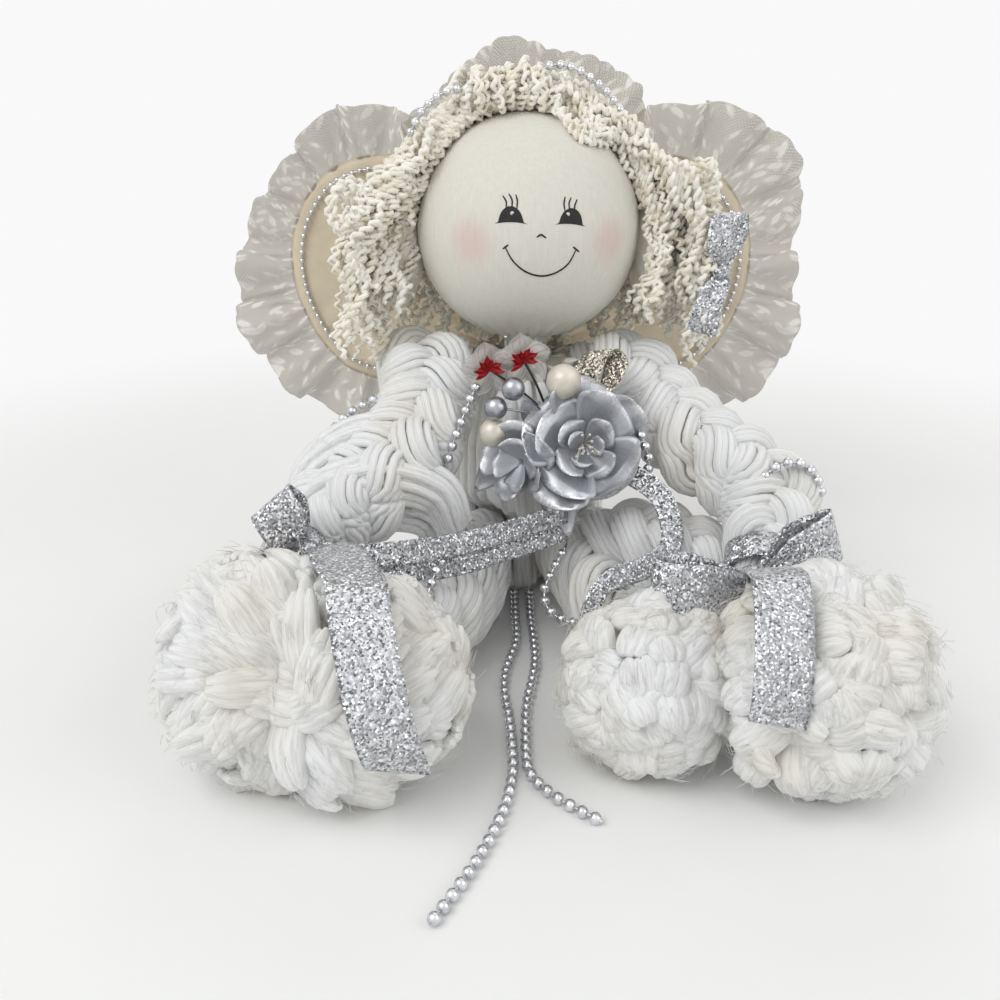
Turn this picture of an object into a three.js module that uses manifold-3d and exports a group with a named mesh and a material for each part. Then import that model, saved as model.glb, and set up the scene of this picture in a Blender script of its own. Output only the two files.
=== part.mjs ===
// Plush angel ornament: a sitting doll of braided roving with a stuffed cloth head, lace-edged wings,
// a corsage of silver cloth flowers, wrist bows and bead garland.
// Millimetres, +Z up, the doll faces -Y. The origin is the middle of its flat seat, on the table.

import * as THREE from 'three';
import { mergeVertices } from 'three/addons/utils/BufferGeometryUtils.js';
import Module from 'manifold-3d';

const wasm = await Module();
wasm.setup();

// Clearances
const gap = 0.4; // between pieces that touch
const turnGap = 0.6; // between pieces that move past each other
const socketGap = 0.8; // round the faceted ball of a joint, so that its corners turn freely
const dropGap = 1.2; // round a leg at the angles that the body is cleared for

// Body
const bodyHeight = 127;
const bodyFlatness = 0.9; // depth over width
const seatRadius = 36;
const breast = { centre: [10, -44, 86], radii: [30, 26, 42] };
const collarInner = 15;
const collarWidth = 10.8; // at the back
const collarDepth = 14; // how much further the collar reaches in front
const collarWaves = 8;
const collarWaveDepth = 5;

// Neck and head, stacked on the body
const headX = 2;
const headY = -10;
const neckLength = 11; // from the body's top to where the head nods, inside its gathered opening
const headRise = 56; // from there to the head's middle
const headRadius = 55.5;
const coverThickness = 1.2; // muslin with its seam allowance
const stuffingSlack = 1; // the fibre lies this far inside the muslin
const neckOpeningRadius = 14;
const neckRadius = 10;
const neckTieRadius = 1.5;
const neckHeight = bodyHeight + neckLength;
const headHeight = neckHeight + headRise;

// Hair, set out from the middle of the head
const hairGap = 1.5; // between the hair's roots and the muslin
const lockDrop = 54; // the side locks end this far below the middle, beside the shoulders
const lockRise = 22; // and this far below it over the shoulders, clear of a raised arm
const lockRoom = 9; // the locks hang past the shoulder with this much room
const partingRise = 28; // and meet the crown this far above it
const fringeReach = 35; // the crown starts this far in front of it
const napeReach = 38; // and ends this far behind it
const crownBack = 8; // the crown's own middle lies behind and above the head's
const crownRise = 6;
const crownHair = [10.5, 2.5, 9.5]; // how much larger the crown is than the head
const lockReach = 8.5; // the middle of the side locks lies this far beyond the muslin
const lockFront = 12;
const lockSag = 4;
const lockRadii = { left: [34, 30, 52], right: [30, 30, 52] };
const hairBottom = headHeight - lockDrop;
const hairParting = headHeight + partingRise;
const hairFront = headY - fringeReach;
const hairBack = headY + napeReach;

// Limbs: the shoulder and hip ends are balls about their joints
const shoulderX = 50;
const shoulderY = -24;
const shoulderHeight = 125;
const shoulderRadius = 26;
const hipX = 29;
const hipY = -22;
const hipHeight = 28;
const hipRadius = 26;
const legDrop = 60; // degrees that the legs swing down
const legDropStep = 12; // the body is cleared for the leg at every such angle
const wristRadius = 12.5;
const ankleRadius = 13;
const tieRadius = 2.4;
const tieGap = 1.6; // a tie's facets clear the braid's facets
const leftHand = { centre: [-103, -182, 45], radii: [38, 38, 44] };
const leftFoot = { centre: [-68, -190, 42], radii: [41, 41, 42] };
const rightHand = { centre: [112, -186, 43], radii: [43, 43, 43] };
const rightFoot = { centre: [48, -176, 33], radii: [33, 33, 34] };
const leftTuftSplit = -88; // X of the face where hand and foot lie side by side
const rightTuftSplit = 72;
const leftTailX = -50; // the left bow's tail lies over the left foot
const rightTailX = 86; // the right bow's over the right hand

// Wings and lace
const wingY = 58;
const wingHingeX = 9.4;
const wingThickness = 5;
const laceThickness = 0.9;
const wingLaceWidth = 27;
const wingLaceFlare = 9; // extra width at the low outer corner
const wingLaceFlarePlace = 0.32; // shares of the lace's own length
const wingLaceFlareSpread = 0.14;
const wingLaceSpan = [0.13, 0.71]; // share of the wing's outline that carries lace
const wingLaceWaves = 11;
const wingLaceDepth = 6; // how far a fold stands out of the wing's plane
const wingLaceSeam = 0.7; // the lace starts this far off the panel's edge
const wingBeadInset = 7;
const wingBeadSpan = [0.12, 0.92]; // shares of the lace's length that the beads follow
const haloLaceInner = 44;
const haloLaceOuter = 66;
const haloLaceRise = 19; // its middle above the head's
const haloLaceWaves = 7;
const haloLaceDepth = 5;
const haloLaceSpan = [22, 158]; // degrees

// Ribbon and beads
const ribbonThickness = 0.8;
const bowRibbonWidth = 22;
const streamerWidth = 9;
const hairLoopWidth = 13;
const hairTailWidth = 15;
const glitterLoopWidth = 12;
const knotRadius = 6;
const knotSeat = 0.6; // share of the knot's radius that stands off the ribbon round the wrist
const bowLoopSpread = 0.22; // half the opening of a loop over its length
const bowLoopPlace = 0.6; // where along a loop it opens widest
const bowLoopPinch = 0.25; // how much of that opening is left at the knot
const bowRibbonPinch = 0.3; // share of the ribbon's width at the knot
const ribbonPinchSpan = 0.3; // share of a loop over which the ribbon opens
const tailGap = 1; // a bow's tail lies this far off the faceted tuft
const beadDiameter = 5;
const wingBeadDiameter = 3;
const haloBeadDiameter = 4;
const haloBeadLift = 0.7; // the halo's beads lie this far off the hair
const beadPitch = 1.12; // distance between beads over their diameter
const threadRadius = 0.7;
const wrapGap = 0.35; // garland lies this far off the braid

// Corsage
const corsage = { centre: [14, -75, 106], radii: [18, 9.5, 18] };
const flowerRadius = 28;
const flowerDepth = 13;
const innerFlowerRadius = 16;
const innerFlowerDepth = 10;
const sideFlowerRadius = 15;
const sideFlowerDepth = 13;
const petalThickness = 1.5;
const petalNotch = 0.22; // depth of the rim's notches over the radius
const petalGap = 0.9; // between nested flowers
const stamenLength = 11;
const stamenRadius = 3.4;
const berryRadius = 5.2;
const pearlRadius = 6.5;
const largePearlRadius = 8;
const redFlowerRadius = 8;
const redFlowerDepth = 4;
const lowerLeafWidth = 18;
const sideLeafWidth = 14;
const stemRise = 8; // stems meet the base this far above its middle
const wireRadius = 0.8;

const colours = {
  muslin: 0xe9e4d6, filling: 0xf4f4f0, hair: 0xf1ebd9, roving: 0xf4f3f0, lace: 0xdcdad6, wing: 0xe8dcc4,
  silver: 0xb9babc, ribbon: 0xa9abae, petal: 0x9a9c9f, pearl: 0xeee6d8, red: 0xa3202c, wire: 0x5b5d60,
};
const materials = {};
for (const [name, color] of Object.entries(colours)) {
  const shiny = ['silver', 'ribbon', 'petal'].includes(name);
  const finish = shiny ? { roughness: 0.35, metalness: 0.7 } : { roughness: 0.9, metalness: 0 };
  materials[name] = new THREE.MeshStandardMaterial({ color, ...finish });
}

const angel = new THREE.Group();
angel.name = 'plush_angel';
const vec = ([x, y, z]) => new THREE.Vector3(x, y, z);
const backwards = vec([0, 1, 0]);
const upwards = vec([0, 0, 1]);

function addPiece(name, geometry, material) {
  const mesh = new THREE.Mesh(geometry, materials[material]);
  mesh.name = name;
  angel.add(mesh);
}

// A closed mesh from points and triangles, turned so that its faces point out
function closedMesh(points, faces) {
  let volume = 0;
  for (let i = 0; i < faces.length; i += 3) {
    const [a, b, c] = [points[faces[i]], points[faces[i + 1]], points[faces[i + 2]]];
    volume += a.dot(new THREE.Vector3().crossVectors(b, c));
  }
  const geometry = new THREE.BufferGeometry().setFromPoints(points);
  geometry.setIndex(volume > 0 ? faces : faces.slice().reverse());
  return geometry;
}

// A skin over rings of points, with flat ends, or joined end to end
function loft(rings, joined = false) {
  const sides = rings[0].length;
  const points = rings.flat();
  const faces = [];
  const bands = joined ? rings.length : rings.length - 1;
  for (let r = 0; r < bands; r++) {
    const next = (r + 1) % rings.length;
    for (let s = 0; s < sides; s++) {
      const [a, b] = [r * sides + s, r * sides + ((s + 1) % sides)];
      const [c, d] = [next * sides + ((s + 1) % sides), next * sides + s];
      faces.push(a, b, c, a, c, d);
    }
  }
  if (!joined) {
    for (const [ring, turn] of [[0, -1], [rings.length - 1, 1]]) {
      const middle = points.length;
      points.push(rings[ring].reduce((sum, p) => sum.add(p), new THREE.Vector3()).divideScalar(sides));
      for (let s = 0; s < sides; s++) {
        const [a, b] = [ring * sides + s, ring * sides + ((s + 1) % sides)];
        faces.push(middle, turn > 0 ? a : b, turn > 0 ? b : a);
      }
    }
  }
  return closedMesh(points, faces);
}

// Booleans on closed meshes
function toSolid(geometry) {
  const plain = geometry.clone();
  plain.deleteAttribute('normal');
  plain.deleteAttribute('uv');
  const merged = mergeVertices(plain, 1e-4);
  return new wasm.Manifold(new wasm.Mesh({
    numProp: 3,
    vertProperties: new Float32Array(merged.attributes.position.array),
    triVerts: new Uint32Array(merged.index.array),
  }));
}

function fromSolid(solid) {
  const mesh = solid.getMesh();
  const geometry = new THREE.BufferGeometry();
  geometry.setAttribute('position', new THREE.BufferAttribute(new Float32Array(mesh.vertProperties), 3));
  geometry.setIndex(new THREE.BufferAttribute(new Uint32Array(mesh.triVerts), 1));
  return geometry;
}

function cut(geometry, ...tools) {
  return fromSolid(tools.reduce((solid, tool) => solid.subtract(toSolid(tool)), toSolid(geometry)));
}

function join(first, ...others) {
  return fromSolid(others.reduce((solid, other) => solid.add(toSolid(other)), toSolid(first)));
}

function block(low, high) {
  const [a, b] = [vec(low), vec(high)];
  const size = b.clone().sub(a);
  const middle = a.add(b).multiplyScalar(0.5);
  return new THREE.BoxGeometry(size.x, size.y, size.z).translate(middle.x, middle.y, middle.z);
}

const far = 500;
const below = (z) => block([-far, -far, z - far], [far, far, z]);
const above = (z) => block([-far, -far, z], [far, far, z + far]);
const inFrontOf = (y) => block([-far, y - far, -far], [far, y, far]);
const behind = (y) => block([-far, y, -far], [far, y + far, far]);
const leftOf = (x) => block([x - far, -far, -far], [x, far, far]);
const rightOf = (x) => block([x, -far, -far], [x + far, far, far]);

function ball({ centre, radii }, spare = 0, sides = 14, rings = 9) {
  return new THREE.SphereGeometry(1, sides, rings)
    .rotateX(Math.PI / 2)
    .scale(radii[0] + spare, radii[1] + spare, radii[2] + spare)
    .translate(...centre);
}

// The ball end of a limb, with its poles on the joint's axis, so that its facets turn past each other
function jointBall({ centre, radii }, spare = 0) {
  const radius = radii[0] + spare;
  return new THREE.SphereGeometry(radius, 20, 8).rotateZ(Math.PI / 2).translate(...centre);
}

// Height of a ball's top over x, y, and depth of its front at x, z
function ballTop({ centre, radii }, x, y) {
  const rest = 1 - ((x - centre[0]) / radii[0]) ** 2 - ((y - centre[1]) / radii[1]) ** 2;
  return centre[2] + radii[2] * Math.sqrt(Math.max(rest, 0));
}

function ballFront({ centre, radii }, x, z) {
  const rest = 1 - ((x - centre[0]) / radii[0]) ** 2 - ((z - centre[2]) / radii[2]) ** 2;
  return centre[1] - radii[1] * Math.sqrt(Math.max(rest, 0));
}

// A lathe about a standing axis, from [radius, height] pairs that start and end on the axis
function turned(profile, x, y, sides = 18) {
  const outline = profile.map(([r, z]) => new THREE.Vector2(r, z));
  return new THREE.LatheGeometry(outline, sides).rotateX(Math.PI / 2).translate(x, y, 0);
}

function frameAt(curve, t) {
  const tangent = curve.getTangentAt(t);
  const side = new THREE.Vector3(0, 0, 1).cross(tangent).normalize();
  const up = tangent.clone().cross(side).normalize();
  return { point: curve.getPointAt(t), tangent, side, up };
}

// A limb swells and tapers along its route: stations are [x, y, z, radius]
class Limb {
  constructor(stations) {
    this.curve = new THREE.CatmullRomCurve3(stations.map((s) => vec(s)), false, 'centripetal');
    this.radii = stations.map((s) => s[3]);
  }

  radiusAt(t) {
    const place = this.curve.getUtoTmapping(t) * (this.radii.length - 1);
    const first = Math.min(Math.floor(place), this.radii.length - 2);
    const share = THREE.MathUtils.smoothstep(place - first, 0, 1);
    return THREE.MathUtils.lerp(this.radii[first], this.radii[first + 1], share);
  }

  surface(t, angle, proud) {
    const { point, side, up } = frameAt(this.curve, t);
    const reach = this.radiusAt(t) + proud;
    return point.addScaledVector(side, reach * Math.cos(angle)).addScaledVector(up, reach * Math.sin(angle));
  }

  solid(spare = 0, steps = 11, sides = 10) {
    const rings = [];
    for (let i = 0; i <= steps; i++) {
      const ring = [];
      for (let s = 0; s < sides; s++) {
        ring.push(this.surface(i / steps, (s / sides) * 2 * Math.PI, spare));
      }
      rings.push(ring);
    }
    return loft(rings);
  }
}

// A smooth route through points, which may be vectors or [x, y, z]
function routeThrough(points) {
  const vectors = points.map((p) => (p.isVector3 ? p : vec(p)));
  return new THREE.CatmullRomCurve3(vectors, false, 'centripetal');
}

// Flat ribbon along a curve: across gives the direction of its width, pinch its share of width at the ends
function ribbon(points, width, across, steps = 10, spare = 0, pinch = 1) {
  const curve = routeThrough(points);
  const rings = [];
  for (let i = 0; i <= steps; i++) {
    const t = i / steps;
    const point = curve.getPointAt(t);
    const tangent = curve.getTangentAt(t);
    const wide = vec(across).addScaledVector(tangent, -vec(across).dot(tangent)).normalize();
    const thick = tangent.clone().cross(wide).normalize();
    const share = pinch + (1 - pinch) * THREE.MathUtils.smoothstep(Math.min(t, 1 - t), 0, ribbonPinchSpan);
    const halfWidth = (share * width) / 2 + spare;
    const halfThickness = ribbonThickness / 2 + spare;
    rings.push([[1, 1], [-1, 1], [-1, -1], [1, -1]].map(([w, h]) => point.clone()
      .addScaledVector(wide, w * halfWidth).addScaledVector(thick, h * halfThickness)));
  }
  return loft(rings);
}

// A ring of four corners across a curve
function squareRing(curve, t, radius) {
  const { point, side, up } = frameAt(curve, t);
  return [0.25, 0.75, 1.25, 1.75].map((halfTurns) => point.clone()
    .addScaledVector(side, radius * Math.cos(halfTurns * Math.PI))
    .addScaledVector(up, radius * Math.sin(halfTurns * Math.PI)));
}

// Bead garland: beads on a thread, one ring at each bead's belly and one at each neck between beads
function beads(points, diameter) {
  const curve = routeThrough(points);
  const count = Math.max(2, Math.round(curve.getLength() / (diameter * beadPitch)));
  const rings = [];
  for (let i = 0; i <= 2 * count; i++) {
    rings.push(squareRing(curve, i / (2 * count), i % 2 ? diameter / 2 : threadRadius));
  }
  return loft(rings);
}

// Fine garland as a plain cord of its own width
function cord(points, diameter) {
  const curve = routeThrough(points);
  const steps = Math.round(curve.getLength() / (2.5 * diameter));
  return loft(Array.from({ length: steps + 1 }, (_, i) => squareRing(curve, i / steps, diameter / 2)));
}

// Garland wound on a limb from one place and angle to another
function wrapPoints(limb, [fromT, toT], [fromAngle, toAngle], count = 9) {
  const points = [];
  for (let i = 0; i < count; i++) {
    const t = THREE.MathUtils.lerp(fromT, toT, i / (count - 1));
    const angle = THREE.MathUtils.degToRad(THREE.MathUtils.lerp(fromAngle, toAngle, i / (count - 1)));
    points.push(limb.surface(t, angle, beadDiameter / 2 + wrapGap));
  }
  return points;
}

// Gathered lace: each station gives its inner edge, the way out, its width and which way a fold stands
function lace(stations, waves, depth, joined = false) {
  const rings = stations.map(({ inner, out, width, stand, turn }) => {
    const fold = 0.5 + 0.5 * Math.sin(turn * waves * 2 * Math.PI);
    const ring = [];
    const across = [0, 0.5, 1];
    for (const face of [-1, 1]) {
      for (const share of face < 0 ? across : across.slice().reverse()) {
        const lift = depth * fold * share + (face * laceThickness) / 2;
        ring.push(inner.clone().addScaledVector(out, width * share).addScaledVector(stand, lift));
      }
    }
    return ring;
  });
  return loft(rings, joined);
}

// Cupped cloth flower with lobed rim, opening along facing
function flower(apex, facing, radius, lobes, depth, sides = 20, spare = 0) {
  const turn = new THREE.Quaternion().setFromUnitVectors(new THREE.Vector3(0, 0, 1), vec(facing).normalize());
  const place = (r, angle, lift) => new THREE.Vector3(r * Math.cos(angle), r * Math.sin(angle), lift)
    .applyQuaternion(turn).add(vec(apex));
  const shares = [0.5, 1];
  const lifts = [-spare, petalThickness + spare];
  const points = lifts.map((lift) => place(0, 0, lift));
  const faces = [];
  for (const lift of lifts) {
    for (const share of shares) {
      for (let s = 0; s < sides; s++) {
        const angle = (s / sides) * 2 * Math.PI;
        const notch = petalNotch * (1 - Math.abs(Math.cos((angle * lobes) / 2)));
        const reach = (radius + spare) * (1 - share * notch);
        points.push(place(reach * share, angle, depth * share * share + lift));
      }
    }
  }
  const at = (skin, ring, s) => 2 + (skin * shares.length + ring) * sides + (s % sides);
  for (let s = 0; s < sides; s++) {
    faces.push(0, at(0, 0, s + 1), at(0, 0, s), 1, at(1, 0, s), at(1, 0, s + 1));
    for (const skin of [0, 1]) {
      const [near, next] = skin ? [s + 1, s] : [s, s + 1];
      faces.push(at(skin, 0, near), at(skin, 0, next), at(skin, 1, next));
      faces.push(at(skin, 0, near), at(skin, 1, next), at(skin, 1, near));
    }
    faces.push(at(0, 1, s), at(0, 1, s + 1), at(1, 1, s + 1), at(0, 1, s), at(1, 1, s + 1), at(1, 1, s));
  }
  return closedMesh(points, faces);
}

// Cloth leaf: a ribbon that widens and closes to a point
function leaf(points, width) {
  const curve = new THREE.CatmullRomCurve3(points.map(vec));
  const steps = 8;
  const rings = [];
  for (let i = 0; i <= steps; i++) {
    const t = i / steps;
    const { point, tangent } = frameAt(curve, t);
    const wide = new THREE.Vector3(0, 1, 0).cross(tangent).normalize();
    const half = (width / 2) * Math.sin(Math.PI * (0.12 + 0.84 * t));
    const thick = new THREE.Vector3(0, petalThickness / 2, 0);
    rings.push([[1, 1], [-1, 1], [-1, -1], [1, -1]].map(([w, h]) => point.clone()
      .addScaledVector(wide, w * half).addScaledVector(thick, h)));
  }
  return loft(rings);
}

function rod(from, to, radius, sides = 6) {
  const curve = new THREE.LineCurve3(vec(from), vec(to));
  const rim = new THREE.EllipseCurve(0, 0, radius, radius).getPoints(sides).slice(0, sides);
  const section = new THREE.Shape(rim);
  return new THREE.ExtrudeGeometry(section, { steps: 1, extrudePath: curve });
}

// Limbs
const round = (centre, radius) => ({ centre, radii: [radius, radius, radius] });
const shoulder = (sign) => round([sign * shoulderX, shoulderY, shoulderHeight], shoulderRadius);
const hip = (sign) => round([sign * hipX, hipY, hipHeight], hipRadius);
const armRoute = {
  left: [[-shoulderX, shoulderY, shoulderHeight, 22], [-47, -60, 108, 22], [-62, -86, 90, 24],
    [-92, -108, 77, 22], [-102, -132, 64, wristRadius], [-103, -150, 56, wristRadius]],
  right: [[shoulderX, shoulderY, shoulderHeight, 22], [72, -46, 109, 22], [86, -76, 94, 22],
    [111, -96, 83, 23], [104, -126, 68, 18], [101, -142, 60, wristRadius], [104, -158, 54, wristRadius]],
};
const legRoute = {
  left: [[-hipX, hipY, hipHeight, 24], [-34, -70, 28, 25], [-46, -112, 29, 23], [-56, -144, 34, ankleRadius],
    [-60, -160, 37, ankleRadius]],
  right: [[hipX, hipY, hipHeight, 24], [41, -70, 29, 25], [47, -108, 30, 22], [48, -136, 32, ankleRadius],
    [48, -152, 33, ankleRadius]],
};
const arms = { left: new Limb(armRoute.left), right: new Limb(armRoute.right) };
const legs = { left: new Limb(legRoute.left), right: new Limb(legRoute.right) };
const hands = { left: leftHand, right: rightHand };
const feet = { left: leftFoot, right: rightFoot };
const signs = { left: -1, right: 1 };

// Body: a full seat, a narrow top and a breast under the corsage
const bodyProfile = [[0, 0], [seatRadius, 0], [44, 18], [46, 45], [42, 85], [31, 114], [20, bodyHeight],
  [0, bodyHeight]];
const bodyCore = turned(bodyProfile, 0, 0).scale(1, bodyFlatness, 1);
const wholeBody = join(bodyCore, ball(breast));
const limbRoom = Object.keys(signs).flatMap((side) => {
  const [x, y, z] = hip(signs[side]).centre;
  const dropped = [];
  for (let angle = 0; angle <= legDrop; angle += legDropStep) {
    dropped.push(legs[side].solid(dropGap).translate(-x, -y, -z)
      .rotateX(THREE.MathUtils.degToRad(angle)).translate(x, y, z));
  }
  return [jointBall(shoulder(signs[side]), socketGap), arms[side].solid(turnGap),
    jointBall(hip(signs[side]), socketGap), ...dropped];
});
const body = cut(wholeBody, ...limbRoom);
addPiece('body_roving', body, 'roving');

// Neck: the gathered stub that the head turns and nods on, and the tie round it
const neckDome = [60, 30, 0].map((degrees) => {
  const angle = THREE.MathUtils.degToRad(degrees);
  return [neckRadius * Math.cos(angle), neckHeight + neckRadius * Math.sin(angle)];
}).reverse();
const neckFoot = bodyHeight + gap;
const neckProfile = [[0, neckFoot], [neckRadius, neckFoot], ...neckDome, [0, neckHeight + neckRadius]];
addPiece('neck_stub', turned(neckProfile, headX, headY, 16), 'roving');
const neckTieHeight = neckFoot + 2 * neckTieRadius;
addPiece('neck_tie', new THREE.TorusGeometry(neckRadius + gap + neckTieRadius, neckTieRadius, 6, 16)
  .translate(headX, headY, neckTieHeight), 'ribbon');

// Lace collar, deeper in front
const collarStations = [];
const collarMiddle = vec([headX, headY, bodyHeight + gap + laceThickness / 2]);
const collarSteps = 32;
for (let i = 0; i < collarSteps; i++) {
  const angle = (i / collarSteps) * 2 * Math.PI;
  const out = new THREE.Vector3(Math.cos(angle), Math.sin(angle), 0);
  const inner = out.clone().multiplyScalar(collarInner).add(collarMiddle);
  const width = collarWidth + collarDepth * Math.max(0, -Math.sin(angle)) ** 2;
  collarStations.push({ inner, out, width, stand: upwards, turn: i / collarSteps });
}
const collarRoom = Object.values(signs).map((sign) => jointBall(shoulder(sign), socketGap));
const collar = lace(collarStations, collarWaves, collarWaveDepth, true);
addPiece('collar_lace', cut(collar, ...collarRoom, ball(breast, gap)), 'lace');

// Head: a muslin cover, open where it is gathered, round its stuffing
const headArc = (radius, openRadius, count) => {
  const start = -Math.acos(openRadius / radius);
  return Array.from({ length: count }, (_, i) => {
    const angle = THREE.MathUtils.lerp(start, Math.PI / 2, i / (count - 1));
    return [i === count - 1 ? 0 : radius * Math.cos(angle), headHeight + radius * Math.sin(angle)];
  });
};
const coverInner = headRadius - coverThickness;
const coverProfile = [...headArc(coverInner, neckOpeningRadius, 10).reverse(),
  ...headArc(headRadius, neckOpeningRadius, 10)];
addPiece('head_cover', turned(coverProfile, headX, headY), 'muslin');
const stuffingRadius = coverInner - stuffingSlack;
const stuffingFoot = neckHeight + neckRadius + gap;
const stuffingFootRadius = Math.sqrt(stuffingRadius ** 2 - (headHeight - stuffingFoot) ** 2);
const stuffingProfile = [[0, stuffingFoot], ...headArc(stuffingRadius, stuffingFootRadius, 9)];
addPiece('head_stuffing', turned(stuffingProfile, headX, headY), 'filling');

// Hair: crown and side locks lie on the head
const headRoom = ball(round([headX, headY, headHeight], headRadius), hairGap, 18, 12);
const crown = {
  centre: [headX, headY + crownBack, headHeight + crownRise],
  radii: crownHair.map((extra) => headRadius + extra),
};
const crownEnds = [below(hairParting), inFrontOf(hairFront), behind(hairBack)];
addPiece('hair_crown', cut(ball(crown, 0, 16, 10), headRoom, ...crownEnds), 'hair');
const locks = {};
for (const [side, sign] of Object.entries(signs)) {
  const lockX = headX + sign * (headRadius + lockReach);
  locks[side] = { centre: [lockX, headY - lockFront, headHeight - lockSag], radii: lockRadii[side] };
  const roomEdge = shoulderX + shoulderRadius + lockRoom;
  const overShoulder = block([-roomEdge, -far, -far], [roomEdge, far, headHeight - lockRise]);
  const lockEnds = [below(hairBottom), above(hairParting - gap), overShoulder];
  addPiece(`hair_${side}`, cut(ball(locks[side]), headRoom, ...lockEnds), 'hair');
}

// Halo: beads over the crown and lace behind it
const haloY = headY - 12;
const haloPoints = [-48, -32, -12, 8, 28, 42].map((offset) => {
  const x = headX + offset;
  return [x, haloY, ballTop(crown, x, haloY) + haloBeadDiameter / 2 + haloBeadLift];
});
addPiece('halo_beads', cord(haloPoints, haloBeadDiameter), 'silver');
const haloStations = [];
const haloMiddle = vec([headX, hairBack + gap + laceThickness / 2, headHeight + haloLaceRise]);
const haloSteps = 28;
for (let i = 0; i <= haloSteps; i++) {
  const turn = i / haloSteps;
  const angle = THREE.MathUtils.degToRad(THREE.MathUtils.lerp(...haloLaceSpan, turn));
  const out = new THREE.Vector3(Math.cos(angle), 0, Math.sin(angle));
  const inner = out.clone().multiplyScalar(haloLaceInner).add(haloMiddle);
  haloStations.push({ inner, out, width: haloLaceOuter - haloLaceInner, stand: backwards, turn });
}
addPiece('halo_lace', lace(haloStations, haloLaceWaves, haloLaceDepth), 'lace');

// Hair ribbon: a folded loop and a tail on the right locks
const hairRibbonX = locks.right.centre[0] + locks.right.radii[0] + gap;
const hairKnotRadius = 4;
const onLock = ([x, y, z]) => [hairRibbonX + x, locks.right.centre[1] - 2 + y, locks.right.centre[2] - 2 + z];
const hairKnot = ball(round(onLock([3.6, 0, 0]), hairKnotRadius), 0, 10, 6);
const hairLoopRoute = [[3, 0, 0], [4, -4, 16], [9, 0, 23], [13, 2, 12], [5.5, 0, 0]];
const hairTailRoute = [[4, 0, -1], [3, -3, -14], [2, -5, -25], [1, -5, -32]];
const hairLoop = ribbon(hairLoopRoute.map(onLock), hairLoopWidth, [0, 1, 0]);
const hairTail = ribbon(hairTailRoute.map(onLock), hairTailWidth, [0, 1, 0], 8);
addPiece('hair_ribbon', join(hairKnot, hairLoop, hairTail), 'ribbon');

// Wings: a padded cloth panel, gathered lace round its outer edge and beads inside that edge
const wingKnot = { centre: [0, 44, 108], radii: [11.5, 20, 24] };
const roomyBody = bodyProfile.map(([r, z]) => [r ? r + gap : 0, z ? z + gap : z - gap]);
addPiece('wing_knot', cut(ball(wingKnot), turned(roomyBody, 0, 0).scale(1, bodyFlatness, 1)), 'wing');
const wingOutline = [[wingHingeX, 104], [60, 96], [104, 106], [129, 144], [130, 186], [106, 219], [62, 224],
  [26, 186], [wingHingeX, 132]];
const wingSteps = 44;
for (const [side, sign] of Object.entries(signs)) {
  const corners = wingOutline.map(([x, z]) => new THREE.Vector3(sign * x, 0, z));
  const edge = new THREE.CatmullRomCurve3(corners, true, 'centripetal');
  const outline = edge.getSpacedPoints(wingSteps).slice(0, wingSteps)
    .map((p) => new THREE.Vector2(Math.max(sign * p.x, wingHingeX), p.z));
  const extrusion = { depth: wingThickness, bevelEnabled: false };
  const panel = new THREE.ExtrudeGeometry(new THREE.Shape(outline), extrusion)
    .rotateX(Math.PI / 2).scale(sign, 1, 1).translate(0, wingY + wingThickness / 2, 0);
  const panelMesh = mergeVertices(panel.deleteAttribute('normal').deleteAttribute('uv'), 1e-4);
  const panelPoints = [];
  for (let i = 0; i < panelMesh.attributes.position.count; i++) {
    panelPoints.push(new THREE.Vector3().fromBufferAttribute(panelMesh.attributes.position, i));
  }
  addPiece(`wing_panel_${side}`, closedMesh(panelPoints, Array.from(panelMesh.index.array)), 'wing');
  const stations = [];
  const beadPoints = [];
  for (let i = 0; i <= wingSteps; i++) {
    const turn = i / wingSteps;
    const t = THREE.MathUtils.lerp(...wingLaceSpan, turn);
    const tangent = edge.getTangentAt(t);
    const out = new THREE.Vector3(tangent.z, 0, -tangent.x).multiplyScalar(sign);
    const point = edge.getPointAt(t).setY(wingY - wingLaceDepth / 2);
    const flare = wingLaceFlare * Math.exp(-(((turn - wingLaceFlarePlace) / wingLaceFlareSpread) ** 2));
    const inner = point.clone().addScaledVector(out, wingLaceSeam);
    stations.push({ inner, out, width: wingLaceWidth + flare, stand: backwards, turn });
    if (i % 3 === 0 && turn > wingBeadSpan[0] && turn < wingBeadSpan[1]) {
      const front = wingY - wingThickness / 2 - wingBeadDiameter / 2 - gap;
      beadPoints.push(point.clone().addScaledVector(out, -wingBeadInset).setY(front));
    }
  }
  addPiece(`wing_lace_${side}`, lace(stations, wingLaceWaves, wingLaceDepth), 'lace');
  addPiece(`wing_beads_${side}`, cord(beadPoints, wingBeadDiameter), 'silver');
}

// Arms and legs: braided roving that ends in a frayed tuft
function tuft(place, otherSide) {
  return cut(ball(place), below(0), otherSide);
}

const splits = { left: leftTuftSplit, right: rightTuftSplit };
for (const [side, sign] of Object.entries(signs)) {
  const split = splits[side];
  const handTuft = tuft(hands[side], sign < 0 ? rightOf(split - turnGap) : leftOf(split + turnGap));
  const footTuft = tuft(feet[side], sign < 0 ? leftOf(split + turnGap) : rightOf(split - turnGap));
  const arm = join(jointBall(shoulder(sign)), arms[side].solid());
  const leg = join(jointBall(hip(sign)), legs[side].solid());
  addPiece(`arm_braid_${side}`, cut(arm, ball(hands[side], gap)), 'roving');
  addPiece(`leg_braid_${side}`, cut(leg, ball(feet[side], gap)), 'roving');
  addPiece(`hand_tuft_${side}`, handTuft, 'roving');
  addPiece(`foot_tuft_${side}`, footTuft, 'roving');
}

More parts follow.
